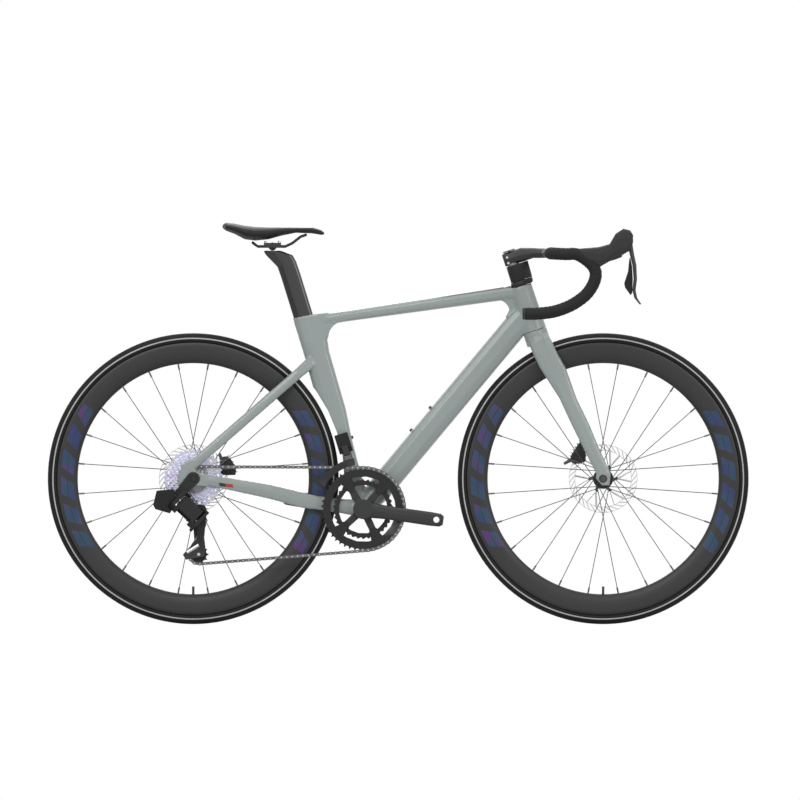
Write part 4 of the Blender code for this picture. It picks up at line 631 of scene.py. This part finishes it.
fixing(
    "stemBolts",
    "cockpit",
    "steel",
    [
        ((0.2535, -0.0172, 0.8543), (0, -1, 0), 0.0034, 0.0024),
        ((0.2567, -0.0172, 0.8412), (0, -1, 0), 0.0034, 0.0024),
    ],
)
forkFace = min(
    v.co.y for v in nodes["fork"].data.vertices if math.hypot(v.co.x - 0.4775, v.co.z - 0.339) < 0.012
)
fixing("axleCap", "fork", "black_alloy", [((0.4775, forkFace - 0.0005, 0.339), (0, -1, 0), 0.0098, 0.0016)])
downNormal, seatNormal = (-0.77, 0, 0.64), (0.955, 0, 0.296)
fixing("bottleBolts", "frame", "black_alloy", [
    ((0.0741, 0, 0.5050), downNormal, 0.0042, 0.005), ((0.0298, 0, 0.4527), downNormal, 0.0042, 0.005),
    ((-0.1262, 0, 0.5001), seatNormal, 0.0042, 0.006), ((-0.1078, 0, 0.4356), seatNormal, 0.0042, 0.006),
])
fixing(
    "clampBolts",
    "saddle_clamp",
    "steel",
    [((-0.2765, 0, 0.8892), (0, 0, 1), 0.0042, 0.007), ((-0.3090, 0, 0.8892), (0, 0, 1), 0.0042, 0.007)],
)

# Wheels
print("wheels")
wheelShape = {
    "tyre": 0.339, "tyreHalf": 0.014, "rim": 0.317, "rimDepth": 0.048, "rimHalf": 0.0135,
    "segments": 160, "spokes": 24, "spoke": 0.0011, "flange": 0.021, "stripe": (0.3256, 0.3284),
}
wheels = {
    "front": {
        "centre": Vector((0.4775, 0, 0.339)), "span": 0.056, "shift": 0.0, "half": 0.0488, "rotor": 0.0395
    },
    "rear": {
        "centre": Vector((-0.4775, 0, 0.339)), "span": 0.054, "shift": 0.009, "half": 0.0698, "rotor": 0.0605
    },
}


# spins a closed profile of (radius, y) points about the wheel's axle
def spun(name, profile, centre, segments=None):
    bm = bmesh.new()
    verts = [bm.verts.new(centre + Vector((r, y, 0))) for r, y in profile]
    outline = [bm.edges.new((verts[i - 1], verts[i])) for i in range(len(verts))]
    bmesh.ops.spin(
        bm, geom=verts + outline, cent=centre, axis=(0, 1, 0), angle=2 * math.pi,
        steps=segments or wheelShape["segments"], use_merge=True,
    )
    bmesh.ops.remove_doubles(bm, verts=bm.verts, dist=1e-6)
    bmesh.ops.recalc_face_normals(bm, faces=bm.faces)
    return meshObject(name, bm)


def tyreColours(centre):
    def colours(tree, colour):
        parts = fromPoint(tree, centre)
        radius = radiusOf(tree, parts)
        low, high = wheelShape["stripe"]
        stripe = between(tree, radius, low, high, 0.0004)
        return mixColour(tree, stripe, (0.012, 0.012, 0.012), (0.55, 0.55, 0.54))

    return colours


def rimColours(centre):
    def colours(tree, colour):
        parts = fromPoint(tree, centre)
        radius = radiusOf(tree, parts)
        angle = maths(tree, "ARCTAN2", parts[2], parts[0])
        # slanted bars in two arcs, in blue and violet that drift along the rim
        wound = maths(
            tree,
            "ADD",
            maths(tree, "MULTIPLY", angle, 1 / (2 * math.pi)),
            maths(tree, "MULTIPLY", radius, 0.35),
        )
        bars = maths(tree, "FRACT", maths(tree, "MULTIPLY", wound, 30.0))
        bars = between(tree, bars, 0.14, 0.80, 0.015)
        ring = between(tree, radius, 0.2785, 0.3085, 0.0004)
        split = between(tree, radius, 0.2925, 0.2945, 0.0003)
        ring = maths(tree, "SUBTRACT", ring, split)
        arcs = maths(tree, "COSINE", maths(tree, "MULTIPLY", angle, 2.0))
        arcs = between(tree, arcs, 0.36, 1.5, 0.01)
        mask = maths(tree, "MULTIPLY", maths(tree, "MULTIPLY", bars, ring), arcs)
        drift = node(tree, "ShaderNodeTexNoise")
        drift.inputs["Scale"].default_value = 14
        where = node(tree, "ShaderNodeTexCoord")
        tree.links.new(where.outputs["Object"], drift.inputs["Vector"])
        ramp = node(tree, "ShaderNodeValToRGB")
        ramp.color_ramp.elements[0].color = (0.020, 0.030, 0.135, 1)
        ramp.color_ramp.elements[0].position = 0.35
        ramp.color_ramp.elements[1].color = (0.085, 0.025, 0.160, 1)
        ramp.color_ramp.elements[1].position = 0.65
        middle = ramp.color_ramp.elements.new(0.5)
        middle.color = (0.012, 0.055, 0.105, 1)
        tree.links.new(drift.outputs[0], ramp.inputs[0])
        return mixColour(tree, mask, colour, ramp.outputs[0])

    return colours


# a thin rod, flattened across the bike by flat
def addRod(bm, start, end, radius, sides, flat=1.0, taper=1.0):
    span = end - start
    ahead = span.normalized()
    across = ahead.cross(Vector((0, 1, 0))).normalized()
    deep = ahead.cross(across)
    turn = Matrix((across, deep, ahead)).transposed()
    place = Matrix.Translation((start + end) / 2) @ turn.to_4x4() @ Matrix.Diagonal((1, flat, 1, 1))
    bmesh.ops.create_cone(
        bm, cap_ends=True, segments=sides, radius1=radius, radius2=radius * taper, depth=span.length, matrix=place
    )


def onRing(centre, radius, angle, y=0.0):
    return centre + Vector((radius * math.cos(angle), y, radius * math.sin(angle)))


def makeWheel(side, spec):
    centre = spec["centre"]
    shape = wheelShape
    bead, half = shape["rim"] - 0.0046, shape["tyreHalf"]
    round_ = (shape["tyre"] - shape["rim"]) * 0.61
    tyre = [(bead, -0.0097), (shape["rim"] + 0.0004, -0.0100), (shape["rim"] + 0.0012, -0.0118)]
    for degrees in (-18, -6, 6, 18, 30, 42, 54, 66, 78):
        a = math.radians(degrees)
        tyre.append((shape["tyre"] - round_ + round_ * math.sin(a), -half * math.cos(a) ** 0.9))
    tyre.append((shape["tyre"], 0))
    tyre += [(r, -y) for r, y in reversed(tyre[:-1])]
    dress(
        spun(side + "Tyre", tyre, centre),
        side + "_tyre",
        finish("rubber+" + side + "Tyre", tyreColours(centre)),
        50,
    )
    inner, edge = shape["rim"] - shape["rimDepth"], shape["rimHalf"]
    rim = [
        (bead - 0.0004, 0.0104), (shape["rim"] - 0.0005, 0.0104), (shape["rim"], 0.0109),
        (shape["rim"], edge - 0.0006), (shape["rim"] - 0.0008, edge),
    ]
    for share, wide in (
        (0.15, 1.01), (0.32, 1.0), (0.5, 0.965), (0.66, 0.89), (0.78, 0.77), (0.88, 0.60),
        (0.95, 0.40), (0.985, 0.2),
    ):
        rim.append((shape["rim"] - shape["rimDepth"] * share, edge * wide))
    rim += [(inner, 0)]
    rim += [(r, -y) for r, y in reversed(rim[:-1])]
    dress(
        spun(side + "Rim", rim, centre),
        side + "_rim",
        finish("carbon+" + side + "Rim", rimColours(centre)),
        40,
    )

    left, right = spec["span"] / 2 + spec["shift"], -spec["span"] / 2 + spec["shift"]
    endLeft = spec["half"]
    endRight = -spec["half"] if not spec["shift"] else right - 0.0028
    flange = shape["flange"] + 0.002
    hub = [
        (0.0063, endRight), (0.0105, endRight), (0.0115, right - 0.0026), (
            flange - 0.0006, right - 0.0022
        ), (flange, right - 0.0016),
        (flange, right + 0.0016), (
            flange - 0.0006, right + 0.0022
        ), (0.0150, right + 0.0045), (0.0125, right + 0.009),
        (0.0125, left - 0.009), (0.0150, left - 0.0045), (
            flange - 0.0006, left - 0.0022
        ), (flange, left - 0.0016),
        (flange, left + 0.0016), (flange - 0.0006, left + 0.0022), (0.0172, spec["rotor"] - 0.0012),
        (
            0.0152, spec["rotor"] - 0.0012
        ), (0.0152, spec["rotor"] + 0.0030), (0.0105, spec["rotor"] + 0.0034), (0.0105, endLeft), (0.0063, endLeft),
    ]
    body = spun(side + "Hub", hub, centre, 48)
    bm = bmesh.new()
    bm.from_mesh(body.data)
    for i in range(shape["spokes"]):
        plane = left if i % 2 else right
        rimAngle = 2 * math.pi * (i + 0.5) / shape["spokes"]
        lean = math.radians(62) * (1 if i % 4 < 2 else -1)
        start = onRing(
            centre, shape["flange"] - 0.002, rimAngle + lean, plane + (0.0011 if lean > 0 else -0.0011)
        )
        end = onRing(centre, inner - 0.0004, rimAngle, plane * 0.02)
        addRod(bm, start, end, shape["spoke"], 6, 0.8)
        nippleFoot = end + (start - end).normalized() * 0.013
        addRod(bm, nippleFoot, end, 0.0020, 8)
    bm.to_mesh(body.data)
    bm.free()
    dress(body, side + "_hub", finish("black_alloy"), 35)
    dress(bevelled(side + "_valve", side + "Valve", 0.0004), side + "_valve", finish("black_alloy"), 35)


# a disc with a slotted track, thin arms and a dark carrier
def makeRotor(side, spec):
    centre, y = spec["centre"], spec["rotor"]
    bm = bmesh.new()
    cells, low, deep = 36, 0.0655, 0.0145
    bmesh.ops.create_grid(bm, x_segments=cells, y_segments=1, size=1)
    for vert in bm.verts:
        turn = (vert.co.x + 1) / 2 * 2 * math.pi + 0.11 * vert.co.y
        vert.co = onRing(centre, low + (vert.co.y + 1) / 2 * deep, turn, y - 0.0009)
    bmesh.ops.remove_doubles(bm, verts=bm.verts, dist=1e-6)
    chosen = list(bm.faces)
    bmesh.ops.inset_individual(bm, faces=chosen, thickness=0.0019)
    bmesh.ops.delete(bm, geom=chosen, context="FACES")
    moved = bmesh.ops.extrude_face_region(bm, geom=list(bm.faces), use_keep_orig=True)
    lifted = [g for g in moved["geom"] if isinstance(g, bmesh.types.BMVert)]
    bmesh.ops.translate(bm, verts=lifted, vec=(0, 0.0018, 0))
    for i in range(6):
        turn = math.radians(60 * i)
        for lean in (0.28, -0.10):
            addRod(
                bm, onRing(centre, 0.0335, turn, y), onRing(centre, 0.0668, turn + lean, y), 0.0021, 4, 0.5
            )
    bmesh.ops.recalc_face_normals(bm, faces=bm.faces)
    disc = meshObject(side + "RotorDisc", bm)
    dress(disc, side + "_rotor", finish("steel"), 35)
    carrier = [
        (0.0157, y - 0.0008), (0.0230, y - 0.0008), (0.0238, y - 0.0002), (0.0238, y + 0.0008),
        (0.0157, y + 0.0008),
    ]
    spider = spun(side + "RotorCarrier", carrier, centre, 48)
    bm = bmesh.new()
    bm.from_mesh(spider.data)
    for i in range(6):
        addRod(
            bm,
            onRing(centre, 0.0200, math.radians(60 * i - 8), y),
            onRing(centre, 0.0355, math.radians(60 * i + 2), y),
            0.0046,
            4,
            0.28,
            0.6,
        )
    bm.to_mesh(spider.data)
    bm.free()
    added(spider, side + "_wheel", "black_alloy")


caliperShape = {
    "front": {
        "whole": (
            (-0.0785, 0.0415), (-0.0740, 0.0560), (-0.0655, 0.0690), (-0.0590, 0.0800),
            (-0.0515, 0.0885), (-0.0430, 0.0860), (-0.0400, 0.0680), (-0.0405, 0.0400),
            (-0.0560, 0.0345), (-0.0700, 0.0350),
        ),
        "bridge": (
            (-0.0785, 0.0415), (-0.0740, 0.0560), (-0.0655, 0.0690), (-0.0590, 0.0800),
            (-0.0515, 0.0885), (-0.0430, 0.0860), (-0.0470, 0.0700), (-0.0575, 0.0615),
            (-0.0670, 0.0510), (-0.0735, 0.0405),
        ),
        "left": 0.0033, "ribs": 7, "turns": (150, 122), "rise": (0.0895, 0.1015), "nose": (
            (-0.0750, 0.0440), (-0.0915, 0.0345)
        ), "pistons": (-0.0560, 0.0545),
    },
    "rear": {
        "whole": (
            (0.0625, 0.0085), (0.0800, 0.0080), (0.0985, 0.0085), (0.1000, 0.0200), (0.0965, 0.0320),
            (0.0890, 0.0440), (0.0790, 0.0525), (0.0680, 0.0510), (0.0630, 0.0380),
        ),
        "bridge": (
            (0.0830, 0.0085), (0.0985, 0.0085), (0.1000, 0.0200), (0.0965, 0.0320), (0.0890, 0.0440),
            (0.0790, 0.0525), (0.0700, 0.0518), (0.0735, 0.0395), (0.0795, 0.0250),
        ),
        "left": 0.0110, "ribs": 6, "turns": (9, 33), "rise": (0.1012, 0.0962), "nose": (
            (0.0660, 0.0440), (0.0610, 0.0590)
        ), "pistons": (0.0775, 0.0290),
    },
}


# an outline in the wheel's plane made into a thick plate with rounded edges
def slab(bm, outline, centre, low, high, width):
    verts = [bm.verts.new(centre + Vector((p[0], low, p[1]))) for p in outline]
    face = bm.faces.new(verts)
    moved = bmesh.ops.extrude_face_region(bm, geom=[face], use_keep_orig=True)
    lifted = [g for g in moved["geom"] if isinstance(g, bmesh.types.BMVert)]
    bmesh.ops.translate(bm, verts=lifted, vec=(0, high - low, 0))
    edges = list({e for v in verts + lifted for e in v.link_edges})
    bmesh.ops.bevel(
        bm, geom=edges, offset=width, offset_type="OFFSET", segments=3, profile=0.5, affect="EDGES",
        clamp_overlap=True, material=-1,
    )


def makeCaliper(side, spec):
    shape, centre, y = caliperShape[side], spec["centre"], spec["rotor"]
    bm = bmesh.new()
    slab(bm, shape["whole"], centre, y - 0.0110, y - 0.0019, 0.0018)
    slab(
        bm, shape["whole"], centre, y + 0.0019, y + max(shape["left"], 0.0034),
        0.0006 if side == "front" else 0.0018,
    )
    slab(bm, shape["bridge"], centre, y - 0.0090, y + shape["left"] * 0.7, 0.0010)
    for i in range(shape["ribs"]):
        # cooling ribs stand across the outer edge
        share = i / (shape["ribs"] - 1)
        angle = math.radians(shape["turns"][0] + share * (shape["turns"][1] - shape["turns"][0]))
        out = onRing(Vector((0, 0, 0)), 1, angle)
        place = onRing(
            centre, shape["rise"][0] + share * (shape["rise"][1] - shape["rise"][0]), angle, y - 0.0040
        )
        turn = Matrix((out.cross(Vector((0, 1, 0))), Vector((0, 1, 0)), out)).transposed().to_4x4()
        size = Matrix.Diagonal((0.0020, 0.0120, 0.0064, 1))
        bmesh.ops.create_cube(bm, size=1, matrix=Matrix.Translation(place) @ turn @ size)
    tips = [centre + Vector((p[0], y - 0.0060, p[1])) for p in shape["nose"]]
    addRod(bm, tips[0], tips[1], 0.0046, 12, 1, 0.7)
    piston = centre + Vector((shape["pistons"][0], 0, shape["pistons"][1]))
    addRod(bm, piston + Vector((0, y - 0.0122, 0)), piston + Vector((0, y - 0.0080, 0)), 0.0105, 28, 1, 0.94)
    for lean in (-0.16, 0.16):
        middle = math.atan2(shape["pistons"][1], shape["pistons"][0]) + lean
        bolt = onRing(centre, math.hypot(*shape["pistons"]) + 0.0015, middle)
        addRod(bm, bolt + Vector((0, y - 0.0126, 0)), bolt + Vector((0, y - 0.0090, 0)), 0.0032, 12)
    bmesh.ops.recalc_face_normals(bm, faces=bm.faces)
    dress(meshObject(side + "Caliper", bm), side + "_caliper", finish("black_alloy"), 32)


for side, spec in wheels.items():
    makeWheel(side, spec)
    makeRotor(side, spec)
    makeCaliper(side, spec)
    dress(
        bevelled(side + "_thru_axle", side + "Axle", 0.0006), side + "_thru_axle", finish("black_alloy"), 30
    )

# Drivetrain
print("drivetrain")
for name, label, voxel, passes in (
    ("derailleur_b_knuckle", "hangerKnuckle", 0.0008, 7), ("derailleur_p_knuckle", "cageKnuckle", 0.0008, 7),
    (
        "derailleur_outer_link", "outerLink", 0.0008, 6
    ), ("derailleur_battery", "batteryPack", 0.0009, 8), ("crank_arm_right", "rightCrank", 0.0011, 7),
):
    dress(softened(name, label, voxel, passes), name, finish(slots[name]), 0)

for name, width in (
    ("crank_arm_left", 0.0016), ("derailleur_inner_link", 0.0006), ("derailleur_hanger", 0.0005),
    (
        "front_derailleur_body", 0.0014
    ), ("front_derailleur_link", 0.0007), ("front_derailleur_cage", 0.0003), ("derailleur_cage", 0.0004),
    ("bearing_cup_left", 0.0006), (
        "bearing_cup_right", 0.0006
    ), ("crank_spindle", 0.0006), ("big_chainring", 0.00018), ("small_chainring", 0.00018),
    ("guide_pulley", 0.0002), ("tension_pulley", 0.0002),
):
    words = name.split("_")
    label = words[0] + "".join(w.capitalize() for w in words[1:]) + "Piece"
    dress(bevelled(name, label, width, 2), name, finish(slots[name]), 30)


# The cassette: twelve open cogs with pointed teeth on a dark core
cogShape = {
    "teeth": (11, 12, 13, 14, 15, 17, 19, 21, 24, 27, 30, 34),
    "first": -0.0660,
    "step": 0.00358,
    "thick": 0.0016,
    "phase": 0.12,
}
rearAxle = wheels["rear"]["centre"]


def cogColours(tree, colour):
    parts = fromPoint(tree, rearAxle)
    radius = radiusOf(tree, parts)
    swirl = node(tree, "ShaderNodeTexNoise")
    swirl.inputs["Scale"].default_value = 26
    swirl.inputs["Distortion"].default_value = 1.5
    where = node(tree, "ShaderNodeTexCoord")
    tree.links.new(where.outputs["Object"], swirl.inputs["Vector"])
    ramp = node(tree, "ShaderNodeValToRGB")
    ramp.color_ramp.elements[0].color = (0.60, 0.42, 0.80, 1)
    ramp.color_ramp.elements[0].position = 0.3
    ramp.color_ramp.elements[1].color = (0.85, 0.70, 0.76, 1)
    ramp.color_ramp.elements[1].position = 0.7
    middle = ramp.color_ramp.elements.new(0.5)
    middle.color = (0.56, 0.62, 0.80, 1)
    tree.links.new(swirl.outputs[0], ramp.inputs[0])
    large = between(tree, radius, 0.036, 0.2, 0.004)
    return mixColour(tree, large, (0.10, 0.10, 0.11), ramp.outputs[0])


def makeCassette():
    bm = bmesh.new()
    count = len(cogShape["teeth"])
    for k, teeth in enumerate(cogShape["teeth"]):
        y = cogShape["first"] + k * cogShape["step"]
        root = 0.0127 / 2 / math.sin(math.pi / teeth) - 0.0036
        half = cogShape["thick"] / 2
        inside = max(root - (0.0052 if k > 3 else 0.0200), 0.0168)
        profile = [(inside, y - half), (root, y - half), (root, y + half), (inside, y + half)]
        verts = [bm.verts.new(rearAxle + Vector((r, at, 0))) for r, at in profile]
        outline = [bm.edges.new((verts[i - 1], verts[i])) for i in range(4)]
        bmesh.ops.spin(
            bm, geom=verts + outline, cent=rearAxle, axis=(0, 1, 0), angle=2 * math.pi,
            steps=teeth * 2, use_merge=True,
        )
        for i in range(teeth):
            turn = 2 * math.pi * (i + 0.5) / teeth + cogShape["phase"] * k
            addRod(
                bm, onRing(rearAxle, root - 0.0008, turn, y), onRing(rearAxle, root + 0.0046, turn, y),
                0.0044, 4, 0.20, 0.40,
            )
        if k > 3:
            for i in range(6):
                turn = math.radians(60 * i + 9 * k)
                addRod(
                    bm,
                    onRing(rearAxle, 0.0155, turn, y),
                    onRing(rearAxle, inside + 0.0008, turn + 0.20, y),
                    0.0024,
                    4,
                    0.35,
                )
    last = cogShape["first"] + (count - 1) * cogShape["step"] + 0.0030
    profile = [
        (0.0070, cogShape["first"] - 0.0034), (0.0165, cogShape["first"] - 0.0034), (0.0165, last),
        (0.0070, last),
    ]
    verts = [bm.verts.new(rearAxle + Vector((r, at, 0))) for r, at in profile]
    outline = [bm.edges.new((verts[i - 1], verts[i])) for i in range(4)]
    bmesh.ops.spin(
        bm, geom=verts + outline, cent=rearAxle, axis=(0, 1, 0), angle=2 * math.pi, steps=48, use_merge=True
    )
    bmesh.ops.remove_doubles(bm, verts=bm.verts, dist=1e-7)
    bmesh.ops.recalc_face_normals(bm, faces=bm.faces)
    dress(meshObject("openCogs", bm), "cassette", finish("cog_steel+cogs", cogColours), 30)


makeCassette()
bracket = Vector((-0.08181956, 0, 0.268))
armPoints = [v.co for v in nodes["crank_arm_right"].data.vertices]
face = min(c.y for c in armPoints if math.hypot(c.x - bracket.x, c.z - bracket.z) < 0.022)
collar = spun(
    "spindleCollar",
    [
        (0.0118, face + 0.001), (0.0118, face - 0.0010), (0.0138, face - 0.0010),
        (0.0142, face - 0.0004), (0.0142, face + 0.001),
    ],
    bracket,
    64,
)
added(collar, "crankset", "steel")
fixing(
    "spindlePlug",
    "crank_arm_right",
    "black_alloy",
    [((bracket.x, face - 0.0002, bracket.z), (0, -1, 0), 0.0116, 0.0012)],
)

# pulley bolts and the bright strip on the cage's plate
cageFace = min(v.co.y for v in nodes["derailleur_cage"].data.vertices) + 0.0002
pulleyAt = []
for name in ("guide_pulley", "tension_pulley"):
    corners = [v.co for v in nodes[name].data.vertices]
    middle = [(min(c[i] for c in corners) + max(c[i] for c in corners)) / 2 for i in (0, 2)]
    pulleyAt.append(((middle[0], cageFace - 0.0004, middle[1]), (0, -1, 0), 0.0042, 0.0016))
fixing("pulleyBolts", "derailleur_cage", "steel", pulleyAt)
bm = bmesh.new()
addRod(
    bm, Vector((-0.4920, cageFace - 0.0003, 0.1670)), Vector((-0.4650, cageFace - 0.0003, 0.1842)),
    0.0034, 4, 0.25,
)
strip = meshObject("cageStrip", bm)
strip.data.materials.append(finish("steel"))
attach(strip, nodes["derailleur_cage"]["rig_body"])

# The chain, link by link, on the route of the solid chain
pitch = 0.0127
tensionAt, guideAt = Vector((-0.46526435, 0, 0.16267367)), Vector((-0.4705, 0, 0.2415))
chainStops = (
    (bracket, 48, -1, -0.04695), (tensionAt, 11, -1, -0.05526), (guideAt, 11, 1, -0.05526),
    (rearAxle, 14, -1, -0.05526),
)


def pitchRadius(teeth):
    return pitch / 2 / math.sin(math.pi / teeth)


def tangentAngles(one, two):
    (c1, n1, s1, _), (c2, n2, s2, _) = one, two
    away = c2 - c1
    lean = math.acos((pitchRadius(n1) * s1 - pitchRadius(n2) * s2) * s1 / away.length)
    leave = math.atan2(away.z, away.x) - s1 * lean
    return leave, leave if s1 == s2 else leave + math.pi


def alongRun(start, end, share):
    point = start.lerp(end, share)
    point.y = start.y + (end.y - start.y) * min(max(share * 1.25 - 0.125, 0), 1)
    return point


def chainPins():
    pins = []
    for k, stop in enumerate(chainStops):
        centre, teeth, sense, y = stop
        radius, step = pitchRadius(teeth), 2 * math.pi / teeth
        enter = tangentAngles(chainStops[k - 1], stop)[1]
        leave = tangentAngles(stop, chainStops[(k + 1) % 4])[0]
        wrap = (leave - enter) * sense % (2 * math.pi)
        shift = 0.0
        if pins:
            before = pins[-1]
            flat = Vector((before.x, 0, before.z))
            target = round((onRing(centre, radius, enter) - flat).length / pitch) * pitch
            low, high = -0.6 * step, 0.6 * step
            for _ in range(40):
                shift = (low + high) / 2
                run = (onRing(centre, radius, enter + sense * shift) - flat).length
                low, high = (shift, high) if run < target else (low, shift)
            start = onRing(centre, radius, enter + sense * shift, y)
            links = round(target / pitch)
            pins += [alongRun(before, start, i / links) for i in range(1, links)]
        for i in range(max(round((wrap - shift) / step), 0) + 1):
            pins.append(onRing(centre, radius, enter + sense * (shift + i * step), y))
    last = pins[-1]
    links = round((pins[0] - last).length / pitch)
    if (len(pins) + links - 1) % 2:
        links += 1
    return pins + [alongRun(last, pins[0], i / links) for i in range(1, links)]


chainShape = {
    "plate": 0.0041, "waist": 0.0031, "thick": 0.00055, "inner": 0.00150, "outer": 0.00208,
    "roller": 0.0036, "pin": 0.0016,
}


# one waisted side plate between two pins
def addPlate(bm, start, end, y):
    ahead = (end - start).normalized()
    up = Vector((-ahead.z, 0, ahead.x))
    span = (end - start).length
    points = []
    for centre, first in ((end, -1), (start, 1)):
        for degrees in (-66, -22, 22, 66):
            a = math.radians(degrees)
            out = (ahead * math.cos(a) + up * math.sin(a)) * -first
            points.append(centre + out * chainShape["plate"])
        middle = start + ahead * (span / 2)
        points.append(middle + up * chainShape["waist"] * (1 if first < 0 else -1))
    verts = [bm.verts.new(p + Vector((0, y - chainShape["thick"] / 2, 0))) for p in points]
    face = bm.faces.new(verts)
    moved = bmesh.ops.extrude_face_region(bm, geom=[face], use_keep_orig=True)
    lifted = [g for g in moved["geom"] if isinstance(g, bmesh.types.BMVert)]
    bmesh.ops.translate(bm, verts=lifted, vec=(0, chainShape["thick"], 0))


pins = chainPins()
plates, rollers = bmesh.new(), bmesh.new()
for i, pin in enumerate(pins):
    after = pins[(i + 1) % len(pins)]
    apart = chainShape["outer"] if i % 2 else chainShape["inner"]
    for hand in (-1, 1):
        addPlate(plates, pin, after, hand * apart)
    across = Matrix.Translation(pin) @ Matrix.Rotation(math.pi / 2, 4, "X")
    bmesh.ops.create_cone(
        rollers, cap_ends=True, segments=10, radius1=chainShape["roller"],
        radius2=chainShape["roller"], depth=0.0024, matrix=across,
    )
    bmesh.ops.create_cone(
        rollers, cap_ends=True, segments=8, radius1=chainShape["pin"], radius2=chainShape["pin"],
        depth=0.0050, matrix=across,
    )
bmesh.ops.recalc_face_normals(plates, faces=plates.faces)
dress(meshObject("chainPlates", plates), "chain", finish("chain_steel"), 30)
added(meshObject("chainRollers", rollers), "root", "steel", 40)

print("finish")
